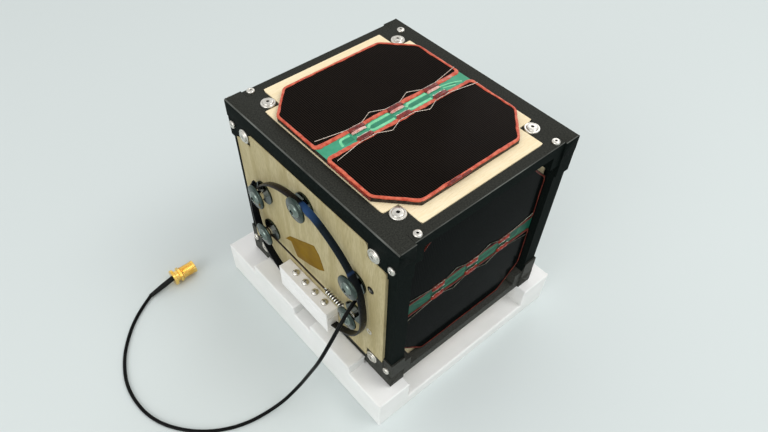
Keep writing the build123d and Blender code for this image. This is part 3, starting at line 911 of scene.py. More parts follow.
@dataclass
class Fasteners:
    """Flanged button heads on the rails' ears, and small screws on the end frames."""

    flange: float = 6.8
    flange_height: float = 0.8
    button: float = 5.0
    head_height: float = 1.5
    key: float = 1.4
    # Depth of the shade in a large head's socket, and its height in a small one's
    shade_depth: float = 0.35
    small_shade: float = 0.7
    # Places of the large heads on the level and the upright long sides, from the side's middle
    level_ears: Pair = (41.65, 37.2)
    upright_ears: Pair = (43.65, 38.0)
    small: float = 3.8
    small_height: float = 1.2
    small_key: float = 1.0
    # Places of the small heads from a side's middle, and how far the upright lugs are from the cube's middle
    lugs: Pair = (53.35, 38.3)
    lug_face: float = 49.7
    spare_screw: Pair = (-47.0, 43.9)
    end_screw: Point = (-56.75, -47.4, 97.6)
    long_sides: tuple[tuple[int, int, int], ...] = ((0, 0, 1), (0, 0, -1), (0, -1, 0), (0, 1, 0))

    def button_head(self) -> Shell:
        """Give one flanged head: a thin disc, a low button on it, and a hexagon socket in the button.

        Returns:
            The shell, standing on the local plane Z = 0.
        """
        r, f = self.flange / 2, self.flange_height
        b, h = self.button / 2, self.head_height
        disc = [(0, 0), (r, 0), (r, 0.6 * f), (r - 0.08, 0.85 * f), (r - 0.22, f), (b + 0.12, f)]
        side = [(b, f + 0.1), (b - 0.04, h - 0.35), (b - 0.2, h - 0.14), (b - 0.5, h - 0.04), (b - 0.9, h)]
        socket = [(1.1, h + 0.02), (1.0, h - 0.1), (1.0, h - 1.0), (0.0, h - 1.2)]
        return turned(disc + side + socket, key=self.key, key_from=len(disc + side))

    def small_head(self) -> Shell:
        """Give one small head: a low dome with a hexagon socket, on the local plane Z = 0."""
        r, h = self.small / 2, self.small_height
        outside = [(0, -0.3), (r, -0.3), (r, 0.45 * h), (0.94 * r, 0.72 * h)]
        outside += [(0.8 * r, 0.92 * h), (0.62 * r, h)]
        socket = [(1.2, h), (1.0, h - 0.1), (1.0, 0.35 * h), (0.0, 0.25 * h)]
        return turned(outside + socket, steps=36, key=self.small_key, key_from=len(outside))

    def corner_places(self) -> list[Placement]:
        """Find the large heads' places: two on each rail's pair of ears, on each long side."""
        return [place for out in self.long_sides
                for place in side_place(out).mirrored(*(self.level_ears if out[2] else self.upright_ears))]

    def small_places(self) -> list[Placement]:
        """Find the small heads: on the end frames, one on a rail's top instead, and one on a rail's end.

        Returns:
            The heads' placements.
        """
        places = [place for out in self.long_sides
                  for place in side_place(out, CUBE_HALF if out[2] else self.lug_face).mirrored(*self.lugs)]
        places[1] = side_place((0, 0, 1)).at(*self.spare_screw)
        return places + [Placement(tuple(satellite(*self.end_screw)), (0, 1, 0), (-1, 0, 0))]

    def build(self) -> None:
        """Make both kinds of head, and the shade at the bottom of their sockets."""
        large, small = self.corner_places(), self.small_places()
        make_piece("corner_screw_heads", self.button_head().at_each(large), STAINLESS, ["corner_screws"])
        make_piece("small_screws", self.small_head().at_each(small), STAINLESS)
        shades = shade_disc(self.key, self.head_height - self.shade_depth).at_each(large)
        shades += shade_disc(self.small_key, self.small_shade).at_each(small)
        # These black discs are painted shade in the sockets
        make_piece("key_sockets", shades, BLACK_OXIDE_AND_SHADE)


class Face(Enum):
    """Sides that carry a solar board: outward direction, direction of its long side, and its shift."""

    TOP = ((0, 0, 1), (1, 0, 0), 0.7)
    BOTTOM = ((0, 0, -1), (1, 0, 0), 0.0)
    BACK = ((0, 1, 0), (1, 0, 0), 0.0)
    RIGHT = ((1, 0, 0), (0, 0, 1), 0.0)
    LEFT = ((-1, 0, 0), (0, 0, 1), 0.0)


@dataclass
class SolarBoard:
    """One board with its two cells, the sealant round each of them, and the strip between them."""

    face: Face
    length: float = 87.3
    width: float = 80.3
    crop_length: float = 13.26
    crop_width: float = 12.78
    # From the board's edge to its cells, the strip's width, and the heights of its mask and of the cells
    margin: float = 0.9
    strip: float = 9.4
    mask: float = 0.05
    cell: float = 0.25
    # How far the bead laps over the cell
    overlap: float = 0.14
    # The top board lies this far from its place along the strip, and one of its cells reaches further out
    slide: float = -0.9
    far_margin: float = 0.45
    # The bead's width on the outer sides and along the strip, its height, and its lap over the board's edge
    outer_reach: float = 1.08
    strip_reach: float = 1.85
    rise: float = 0.32
    wall: float = 0.25
    patch_pitch: float = 20.9
    patch_shift: float = 0.3
    # Lump's middle across the strip and its width, on each side of the strip
    patch_sides: tuple[Pair, ...] = ((-3.2, 2.5), (3.05, 2.5))
    patch_length: float = 8.2
    patch_height: float = 1.15
    # Middle and width of each bare tab in a row of patches, and of the smeared one, whose near-white is
    # partly painted highlight
    tab_sides: tuple[Pair, ...] = ((-0.85, 0.35), (1.6, 0.4), (4.45, 0.35))
    tab_length: float = 7.0
    tab_height: float = 0.5
    tab_thickness: float = 0.08
    smear: Pair = (-1.65, 1.5)
    # Lumps: middle across and along the strip, width, length and height
    # The far lump is a painted highlight on the wet bead, not more sealant
    far_painted_highlight: tuple[float, ...] = (-3.7, 31.2, 1.4, 6.6, 0.6)
    edge_lumps: tuple[tuple[float, ...], ...] = (
        (43.75, -11.0, 1.5, 8.0, 0.95), (43.9, -4.6, 1.0, 5.0, 0.75))
    # Sealant squeezed out under the near edge: its ends, its radius, and its middle's depth under the face
    squeezed_span: Pair = (4.6, 30.0)
    squeezed_radius: float = 0.5
    squeezed_depth: float = 0.75
    # The wires' thickness, how far they are from the strip's middle line beside a row and between two,
    # and how far along it they end
    wire: float = 0.29
    wire_near: float = 4.5
    wire_far: float = 7.4
    wire_end: float = 39.0
    edges: Softening = Softening(0.12)

    def __post_init__(self) -> None:
        """Work out the board's local frame: u along its long side, v along the strip, and the way out."""
        out, along, shift = self.face.value
        middle = satellite(0, 0, CUBE_HALF) + BOARD_FACE * np.array(out) + shift * np.array(along)
        self.place = Placement(tuple(middle), along, out)
        self.name = self.face.name.lower()
        self.random = np.random.default_rng(list(Face).index(self.face) + 11)
        if self.face is not Face.TOP:
            self.slide, self.far_margin = 0.0, self.margin
            self.outer_reach, self.strip_reach, self.rise = 0.6, 1.2, 0.24
            # The tabs stand elsewhere here, and the lumps over them are smaller, as the bead is
            self.tab_sides = ((-1.45, 0.35), (1.5, 0.4), (4.6, 0.3))
            self.patch_length, self.patch_height = 7.4, 1.0

    def waves(self, run: np.ndarray, total: float, size: float, fine: float = 0.15) -> np.ndarray:
        """Give an uneven edge: a sum of sines that close over the loop, with seeded phases.

        Args:
            run: Distance round the loop.
            total: The loop's length.
            size: Typical height of the unevenness.
            fine: Weight of the shortest waves.

        Returns:
            The offset at each distance.
        """
        turns = np.array((5, 9, 14, 23, 37, 61, 89))
        weight = np.array((0.6, 0.7, 0.7, 0.6, 0.5, fine, 0.7 * fine))
        phase = self.random.uniform(0, TURN, len(turns))
        angle = TURN * turns[:, None] * run[None, :] / total + phase[:, None]
        return size * (weight[:, None] * np.sin(angle)).sum(0) / math.sqrt((weight ** 2).sum())

    def cell_loop(self, sign: int) -> np.ndarray:
        """Walk round a cell's outline in even steps, with its corners smoothed by a moving mean.

        Args:
            sign: 1 or -1 for the cell on either side of the strip.

        Returns:
            Points (u, v), counterclockwise.
        """
        inner, half = self.strip / 2, self.width / 2 - self.margin
        end = self.length / 2 - (self.margin if sign > 0 else self.far_margin)
        corners = np.array([
            (inner, -half), (end - self.crop_length, -half), (end, self.crop_width - half),
            (end, half - self.crop_width), (end - self.crop_length, half), (inner, half), (inner, -half)])
        run = distances(corners)
        even = np.linspace(0, run[-1], 480, endpoint=False)
        loop = np.stack([np.interp(even, run, corners[:, k]) for k in (0, 1)], -1)
        loop = np.mean([np.roll(loop, shift, axis=0) for shift in range(-3, 4)], axis=0)
        loop = loop if sign > 0 else (loop * (-1, 1))[::-1]
        return loop + (0.0, self.slide)

    def glass(self) -> list[Shell]:
        """Make the two cells as thin slabs with the bead's own outline."""
        shells = []
        for sign in (1, -1):
            loop = self.cell_loop(sign)
            centre = np.broadcast_to(loop.mean(0), loop.shape)
            rings = [(centre, -0.1), (loop, -0.1), (loop, self.cell), (centre, self.cell)]
            shells.append(Shell.grid(np.stack([raised(flat, height) for flat, height in rings])))
        return shells

    def bead(self) -> list[Shell]:
        """Lay the sealant round both cells: a domed section whose width wanders along the loop.

        On the outer sides the bead also laps over the board's edge. On the strip's side it is a flat band.

        Returns:
            A shell for each cell.
        """
        shells = []
        for sign in (1, -1):
            loop = self.cell_loop(sign)
            travel = unit(np.roll(loop, -1, axis=0) - np.roll(loop, 1, axis=0))
            outward = np.stack([travel[:, 1], -travel[:, 0], 0 * travel[:, 0]], -1)
            run = np.cumsum(np.linalg.norm(np.roll(loop, -1, axis=0) - loop, axis=1))
            total = run[-1]
            # One along the strip, and none from 1.6 mm past its side
            at_strip = np.clip((self.strip / 2 + 1.6 - np.abs(loop[:, 0])) / 1.4, 0, 1)
            reach = self.outer_reach + (self.strip_reach - self.outer_reach) * at_strip
            reach = reach + self.waves(run, total, 0.08) + at_strip * self.waves(run, total, 0.16, 0.8)
            inside = self.overlap + self.waves(run, total, 0.16)
            inside = np.maximum(inside + at_strip * self.waves(run, total, 0.1, 0.8), 0.02)
            crown = self.rise + self.waves(run, total, 0.03, 0.05) - 0.06 * at_strip
            drop = np.maximum(self.wall + self.waves(run, total, 0.12), 0.05) * (1 - at_strip) + 0.02
            # From the cell's side over the crown, down the outer side and back under the board's edge
            c = self.cell
            profile = (
                (-inside, c - 0.05), (-0.8 * inside, c + 0.4 * crown), (0.04 * reach, c + 0.84 * crown),
                (0.28 * reach, c + crown), (0.55 * reach, c + 0.95 * crown),
                (0.8 * reach, c + 0.66 * crown), (0.95 * reach, c + 0.2 * crown), (reach, 0.5 * c - 0.1),
                (reach + 0.02, -0.5 * drop), (reach - 0.08, -drop), (reach - 0.35, -drop),
                (reach - 0.45, -0.05))
            section = np.stack([np.stack(np.broadcast_arrays(*pair), -1) for pair in profile], axis=1)
            shells.append(swept(raised(loop), outward, np.array((0.0, 0.0, 1.0)), section, closed=True))
        return shells

    def lump(self, u: float, v: float, width: float, length: float, height: float) -> Shell:
        """Make a lump of sealant: a rounded box, x = a sgn(cos t) |cos t|^p cos(f)^q, z = h sin(f)^0.8.

        Args:
            u: The lump's middle across the strip.
            v: Its middle along the strip.
            width: Its size across the strip.
            length: Its size along the strip.
            height: Its height over the board.

        Returns:
            The shell, in the board's frame.
        """
        t = np.linspace(0, TURN, 40, endpoint=False)
        f = np.linspace(0, TURN / 4, 9)[:, None]
        square, edge = 0.34, 0.4
        x, y = (np.sign(wave) * np.abs(wave) ** square for wave in (np.cos(t), np.sin(t)))
        pull = np.cos(f) ** edge
        lumps = self.random.uniform(0, TURN, 4)
        uneven = 1 + 0.05 * np.sin(3 * t + lumps[0]) + 0.04 * np.sin(7 * t + lumps[1])
        rise = height * np.sin(f) ** 0.8 * (1 + 0.1 * np.sin(2 * t + lumps[2]) * np.cos(f))
        across, along = u + 0.5 * width * x * pull * uneven, v + 0.5 * length * y * pull * uneven
        points = np.stack([across, along, rise + 0 * t], -1)
        foot = points[:1] * (1, 1, 0) - (0, 0, 0.02)
        centre = np.broadcast_to(np.array((u, v, -0.02)), foot.shape)
        return Shell.grid(np.concatenate([centre, foot, points]))

    def rows(self) -> tuple[float, ...]:
        """Give the places of the three rows of patches along the strip."""
        return tuple(self.patch_shift + number * self.patch_pitch for number in (-1, 0, 1))

    def patches(self) -> list[Shell]:
        """Make the six lumps over the tabs."""
        return [self.lump(u, v, width, self.patch_length, self.patch_height)
                for v in self.rows() for u, width in self.patch_sides]

    def tabs(self) -> list[Shell]:
        """Make the silver tabs that show at the inner sides of the patches: thin crinkled strips.

        Returns:
            The shells, in the board's frame.
        """
        shells = []
        for v in self.rows():
            for u, width in self.tab_sides:
                y = np.linspace(-self.tab_length / 2, self.tab_length / 2, 19)
                phase = self.random.uniform(0, TURN)
                x = u + 0.08 * np.sin(2.3 * y + phase)
                z = self.tab_height + 0.14 * np.sin(1.7 * y + phase)
                path = np.stack([x, v + y, z], -1)
                shells.append(planar_tube(path, (0, 0, 1), flat_section(width, self.tab_thickness)))
        return shells

    def squeezed(self) -> list[Shell]:
        """Make the sealant squeezed out under the board's near edge: a round bead that wanders in two sines.

        Returns:
            The shell, in the board's frame.
        """
        u = np.linspace(*self.squeezed_span, 60)
        edge = self.slide - self.width / 2 - 0.22
        wander = 0.07 * np.sin(0.9 * u) + 0.05 * np.sin(2.3 * u)
        path = np.stack([u, edge + wander, 0 * u - self.squeezed_depth], -1)
        return [planar_tube(path, (0, 0, 1), ring_section(self.squeezed_radius))]

    def smears(self) -> list[Shell]:
        """Make the tabs that lie under a thin smear of sealant, and a lump of painted highlight on the bead
        at the strip's far end.
        """
        u, width = self.smear
        shells = [self.lump(u, v, width, self.patch_length - 0.8, 0.75) for v in self.rows()]
        return shells + [self.lump(*self.far_painted_highlight)]

    def wires(self) -> list[Shell]:
        """Bend the wires that pass the patches and stand off in a point between them.

        Returns:
            The shells, in the board's frame.
        """
        half, near = self.patch_length / 2, 0.06
        p, n, f = self.patch_pitch, self.wire_near, self.wire_far
        ahead = [(n, half), (f, p / 2), (n, p - half), (n, p + half), (f - 0.1, self.wire_end)]
        behind = [(x, -y) for x, y in reversed(ahead)]
        run = np.array(behind + ahead)
        # A corner is kept sharp by a point close to it on each side
        before, after = (run[1:-1] * (1 - near) + side * near for side in (run[:-2], run[2:]))
        points = np.concatenate([run[:1], np.stack([before, after], 1).reshape(-1, 2), run[-1:]])
        shells = []
        for sign in (-1, 1):
            height = self.cell + self.rise + 0.0 * points[:, 0]
            path = np.stack([sign * points[:, 0], points[:, 1] + self.patch_shift, height], -1)
            shells.append(planar_tube(path, (0, 0, 1), ring_section(self.wire / 2, 8)))
        return shells

    def flats(self, lines: Iterable[tuple[Line, float]], height: float) -> list[Shell]:
        """Lay flat strips on the board's strip.

        Args:
            lines: Each strip's points (u, v) and its width.
            height: The strips' upper side over the board's face.

        Returns:
            The shells, in the board's frame.
        """
        shells = []
        for points, width in lines:
            path = raised(np.array(points, float))
            shells.append(planar_tube(path, (0, 0, 1), flat_section(width, height)))
        return shells

    def gaps(self) -> Pair:
        """Give the middles of the two stretches of the strip between its rows of patches."""
        return self.patch_shift - 0.5 * self.patch_pitch, self.patch_shift + 0.5 * self.patch_pitch

    def traces(self) -> list[Shell]:
        """Draw the copper that shows through the mask: pairs of lines, a hook at one end, a loop far off.

        Returns:
            The shells, in the board's frame.
        """
        lines = []
        for v in self.gaps():
            lines.append((eased([(-0.3, v - 6.4), (-1.7, v - 5.0), (-1.9, v - 3.4), (-1.9, v + 6.2)]), 1.25))
            lines.append((eased([(0.9, v - 6.4), (1.8, v - 5.4), (1.95, v - 4.0), (1.95, v + 6.0)]), 1.25))
        hook = eased([(-1.6, -25.4), (-2.0, -28.0), (-1.5, -31.0), (1.9, -31.4)])
        loop = eased([(-1.5, 25.2), (-1.0, 28.6), (0.5, 33.4), (1.7, 35.4)])
        lines += [(hook, 1.1), (loop, 0.6), (eased([(0.1, 25.4), (0.7, 28.4), (1.8, 31.4)]), 0.6)]
        return self.flats(lines, self.mask + 0.05)

    def dark_mask(self) -> list[Shell]:
        """Draw the darker parts of the strip: its middle between the lines, and the pad inside the hook.

        Returns:
            The shells, in the board's frame.
        """
        lines = [([(0.02, v - 6.6), (0.02, v + 6.6)], 1.9) for v in self.gaps()]
        lines += [([(0.3, -30.0), (0.3, -25.2)], 2.5), ([(0.2, 27.0), (0.9, 32.0)], 0.8)]
        return self.flats(lines, self.mask + 0.03)

    def build(self) -> None:
        """Make the board's pieces and dress its solids."""
        end = self.width / 2 - 0.1
        ends = [(0, self.slide - end), (0, self.slide + end)]
        top = self.face is Face.TOP
        if top:
            soften("board_top", self.edges, BOARD_CORE, slide=self.slide)
            bead, mask, patch = SEALANT, SOLDER_MASK, THICK_SEALANT
            wire, trace, dark = SILVER, TRACE_MASK, DARK_MASK
        else:
            dress("board_" + self.name, BOARD_CORE)
            dress("cells_" + self.name, BACK_CELLS if self.face is Face.BACK else SIDE_CELLS)
            # On the sides the bead, mask, wires and traces are darker copies: painted shade
            bead, mask, patch = SHADED_THIN_SEALANT, SHADED_SIDE_MASK, SIDE_SEALANT
            wire, trace, dark = SHADED_SIDE_WIRE, SHADED_SIDE_TRACE, SHADED_SIDE_MASK
        # Several of these draw random numbers, so their order counts
        made = {
            "sealant_bead_": (self.bead(), bead, ["sealant_" + self.name]),
            "strip_mask_": (self.flats([(ends, self.strip)], self.mask), mask, []),
            "tab_sealant_": (self.patches(), patch, []),
            "tabs_": (self.tabs(), SILVER, []),
            "cell_wires_": (self.wires(), wire, []),
            "traces_": (self.traces(), trace, []),
            "dark_mask_": (self.dark_mask(), dark, []),
        }
        if top:
            lumps = [self.lump(*sizes) for sizes in self.edge_lumps]
            made["edge_sealant_"] = (lumps + self.squeezed(), THICK_SEALANT, [])
            made["smeared_tabs_"] = (self.smears(), SMEARED_TAB_AND_HIGHLIGHT, [])
            made["cell_glass_"] = (self.glass(), TOP_CELLS, ["cells_top"])
        for prefix, (shells, finish, stood_for) in made.items():
            make_piece(prefix + self.name, Shell.joined(shells).placed(self.place), finish, stood_for)


@dataclass
class TapeAntenna:
    """The two wound strips, the pillars that guide them, and the sprung line that holds them in."""

    right: tuple[Pair, ...] = (
        (14.6, 12.4), (26.2, 17.4), (36.4, 26.0), (41.0, 37.0), (41.0, 50.0), (38.3, 63.5), (29.5, 73.2),
        (18.5, 80.1), (6.5, 84.3), (-7.0, 83.6), (-19.0, 79.6), (-29.5, 72.2), (-37.4, 61.8))
    left: tuple[Pair, ...] = (
        (-15.6, 12.0), (-27.0, 17.0), (-35.8, 24.6), (-40.4, 35.5), (-41.3, 48.0), (-39.6, 59.5),
        (-36.9, 68.2))
    pillars: tuple[Pair, ...] = (
        (0.0, 80.5), (33.5, 61.5), (-33.5, 61.5), (32.0, 37.0), (-32.0, 37.0))
    tape_width: float = 3.3
    tape_thickness: float = 0.4
    tape_middle: float = 3.05
    # The sleeve ends here along the long strip, and covers the whole of the short one
    sleeve_to: float = 71.5
    short_sleeve_to: float = 200.0
    # What the sleeve adds at the strip's sides and on its faces, and half the length over which it ends
    sleeve_side: float = 0.12
    sleeve_wall: float = 0.16
    sleeve_end: float = 0.35
    # Distance along the long strip at which its bright blue, blued steel under a painted sheen, ends
    crest_at: float = 108.0
    tip: float = 3.0
    bow: float = 0.35
    head: float = 12.2
    head_flange: float = 1.0
    head_button: float = 6.8
    head_height: float = 2.5
    head_base: float = 4.7
    key: float = 2.2
    shade_depth: float = 0.5
    # The right foot pillar, which holds the spring; the line goes round the one across from it
    foot: Pair = (32.0, 37.0)
    post: float = 4.5
    line_height: float = 2.8
    spring: float = 3.1
    spring_wire: float = 0.62
    spring_length: float = 12.0
    hook_length: float = 3.4
    coils: float = 8.0
    core_radius: float = 0.85
    # Rings round the posts: radius and thickness of the spring's and of the line's
    spring_ring: Pair = (2.6, 0.55)
    line_ring: Pair = (2.55, 0.6)

    def strip(self, corners: Line, sleeve_to: float) -> Shell:
        """Carry the strip's section along its route: an arc across its width, thicker inside the sleeve.

        The width falls evenly to a quarter over the strip's last millimetres.

        Args:
            corners: The route's corners, across and up.
            sleeve_to: Distance from the root to the sleeve's end.

        Returns:
            The shell, in the part's frame.
        """
        flat = eased(corners, 12)
        path = np.stack([flat[:, 0], 0 * flat[:, 0] - FRONT_FACE - self.tape_middle, flat[:, 1]], -1)
        width_way = np.array((0.0, -1.0, 0.0))
        thick_way = np.cross(unit(np.gradient(path, axis=0)), width_way)
        run = distances(path)
        sleeve = (0.5 - 0.5 * np.tanh((run - sleeve_to) / self.sleeve_end))[:, None]
        across = np.linspace(-1, 1, 9)
        taper = np.clip((run[-1] - run) / self.tip, 0.25, 1)[:, None]
        width = (self.tape_width / 2 + self.sleeve_side * sleeve) * taper
        thick = self.tape_thickness / 2 + self.sleeve_wall * sleeve
        arc = self.bow * (1 - across ** 2)[None, :] * (1 - 0.6 * sleeve)
        outer = np.stack([across * width, arc + thick], -1)
        inner = np.stack([across[::-1] * width, arc[:, ::-1] - thick], -1)
        section = np.concatenate([outer, inner], axis=1)
        return swept(path, width_way, thick_way, section).seated()

    def head_disc(self) -> Shell:
        """Give the wide flange of one pillar head."""
        r, f = self.head / 2, self.head_flange
        return turned([(0, 0), (r, 0), (r, 0.6 * f), (r - 0.12, 0.86 * f), (r - 0.35, f), (0, f)], steps=72)

    def head_dome(self) -> Shell:
        """Give the button on one pillar head: a low dome with a hexagon socket."""
        f, b, h = self.head_flange, self.head_button / 2, self.head_height
        outside = [(0, f - 0.2), (b, f - 0.2)] + domed(b, f, h, (0, 12, 25, 38, 50, 62, 70))
        socket = [(1.1, h - 0.08), (1.0, h - 0.2), (1.0, h - 0.9), (0.0, h - 1.2)]
        return turned(outside + socket, steps=72, key=self.key, key_from=len(outside))

    def spring_ends(self) -> Pair:
        """Give the X of the spring's two ends."""
        stop = self.foot[0] - self.post / 2 - self.hook_length
        return stop - self.spring_length, stop

    def coil(self) -> Shell:
        """Wind the spring: x grows evenly, and the wire's middle circles at half the spring's diameter.

        The section's sides are the way out from the axis and the way along it. Each end is a hook.

        Returns:
            The shell, in the part's frame.
        """
        start, stop = self.spring_ends()
        r = (self.spring - self.spring_wire) / 2
        axis_y, axis_z = -FRONT_FACE - self.line_height, self.foot[1]
        wire = ring_section(self.spring_wire / 2, 8)
        t = np.linspace(0, TURN * self.coils, int(self.coils * 20))
        outward = np.stack([0 * t, np.sin(t), np.cos(t)], -1)
        x = start + (stop - start) * t / t[-1]
        path = np.stack([x, 0 * t + axis_y, 0 * t + axis_z], -1) + r * outward
        shells = [swept(path, outward, np.array((1.0, 0.0, 0.0)), wire)]
        for end, way, reach in ((stop, 1, self.hook_length + 0.4), (start, -1, 2.2)):
            steps = ((-0.3, r), (0.8, r), (1.2, 0), (reach, 0))
            hook = eased([(end + way * step, axis_y, axis_z + rise) for step, rise in steps], 10)
            shells.append(planar_tube(hook, (0, -1, 0), wire))
        return Shell.joined(shells).seated()

    def core(self) -> Shell:
        """Give the end of the line inside the spring: a straight round rod."""
        start, stop = self.spring_ends()
        x = np.linspace(start + 0.2, stop - 0.2, 5)
        path = np.stack([x, 0 * x - FRONT_FACE - self.line_height, 0 * x + self.foot[1]], -1)
        return planar_tube(path, (0, -1, 0), ring_section(self.core_radius)).seated()

    def loop(self, x: float, radius: float, wire: float) -> Shell:
        """Give a ring round a pillar's post: points on a circle about the way out of the panel."""
        t = np.linspace(0, TURN, 40, endpoint=False)
        outward = np.stack([np.cos(t), 0 * t, np.sin(t)], -1)
        path = np.array((x, -FRONT_FACE - self.line_height, self.foot[1])) + radius * outward
        along = np.array((0.0, -1.0, 0.0))
        return swept(path, outward, along, ring_section(wire / 2, 8), closed=True).seated()

    def build(self) -> None:
        """Make the strips, heads, spring and loops, and dress the solids beside them."""
        black, navy, bright, brown = "#070a0d", "#0c151b", "#2a4a78", "#1d1613"
        # On the long strip the pale blue right at the sleeve's end is a painted highlight on its joint, and
        # the bright blue before the crest is blued steel with a painted sheen
        right = TapeBlue(name="blued strip, long side", slot="tape_spring", length=160.0, stops=(
            (0.0, "#15120f"), (32.0, black), (self.sleeve_to - 0.6, "#080f16"), (self.sleeve_to, "#274069"),
            (self.sleeve_to + 0.8, navy), (self.crest_at - 14, "#101d27"), (self.crest_at - 6, bright),
            (self.crest_at - 1, bright), (self.crest_at, black), (self.crest_at + 8, brown)))
        left = TapeBlue(name="blued strip, short side", slot="tape_spring", length=100.0,
                        stops=((0.0, black), (90.0, "#14161b")))
        make_piece("tape_right_strip", self.strip(self.right, self.sleeve_to), right, ["tape_right"])
        make_piece("tape_left_strip", self.strip(self.left, self.short_sleeve_to), left, ["tape_left"])
        places = [front_place(x, z, self.head_base) for x, z in self.pillars]
        shade = shade_disc(self.key, self.head_height - self.shade_depth)
        make_piece("pillar_head_discs", self.head_disc().at_each(places), POLISHED, ["pillar_heads"])
        make_piece("pillar_head_domes", self.head_dome().at_each(places), BUTTON_STEEL)
        make_piece("pillar_key_sockets", shade.at_each(places), POLISHED)
        dress("pillar_bases", POLISHED)
        dress("pillar_posts", BRIGHT_STEEL)
        make_piece("restraint_coil", [self.coil(), self.loop(self.foot[0], *self.spring_ring)], SPRING_STEEL,
                   ["restraint_spring"])
        make_piece("restraint_loop", [self.loop(-self.foot[0], *self.line_ring), self.core()], LINE_NYLON)
        dress("restraint_line", LINE_NYLON)
        dress("adhesive_film", AMBER)


@dataclass
class RootBlock:
    """White block that clamps the strips' roots, its four domed screws, and the panel's inserts."""

    screw: float = 4.0
    screw_height: float = 1.5
    key: float = 1.3
    screw_row: tuple[float, ...] = (-10.4, -2.8, 4.8, 12.4)
    screw_y: float = -53.6
    top: float = 25.4
    edges: Softening = Softening(0.35)
    ring_place: Pair = (42.2, 64.6)

    def build(self) -> None:
        """Dress the block and make its screws."""
        for node in ("root_block", "root_block_cap"):
            soften(node, self.edges, NYLON)
        r, h = self.screw / 2, self.screw_height
        outside = [(0, -0.2), (r, -0.2)] + domed(r, 0.15, h, (0, 15, 30, 45, 60, 72))
        socket = [(1.1, h - 0.05), (1.0, h - 0.15), (1.0, 0.5), (0.0, 0.4)]
        dome = turned(outside + socket, steps=36, key=self.key, key_from=len(outside))
        base = Placement(tuple(satellite(0, 0, self.top)), (1, 0, 0), (0, 0, 1))
        places = [base.at(x, self.screw_y) for x in self.screw_row]
        make_piece("root_block_domes", dome.at_each(places), STAINLESS)
        dress("panel_inserts", STAINLESS)
        ring = turned([(0, 0.02), (0.9, 0.02), (1.9, 0.02), (1.9, 0.16), (1.55, 0.3), (1.15, 0.26),
                       (1.0, 0.05), (0, 0.03)], steps=32)
        place = front_place(*self.ring_place)
        make_piece("black_insert", ring.placed(place), BLACK_OXIDE_AND_SHADE)
        core = turned([(0, 0), (0.75, 0), (0.75, 0.12), (0, 0.12)], steps=24)
        make_piece("black_insert_core", core.placed(place), STAINLESS)


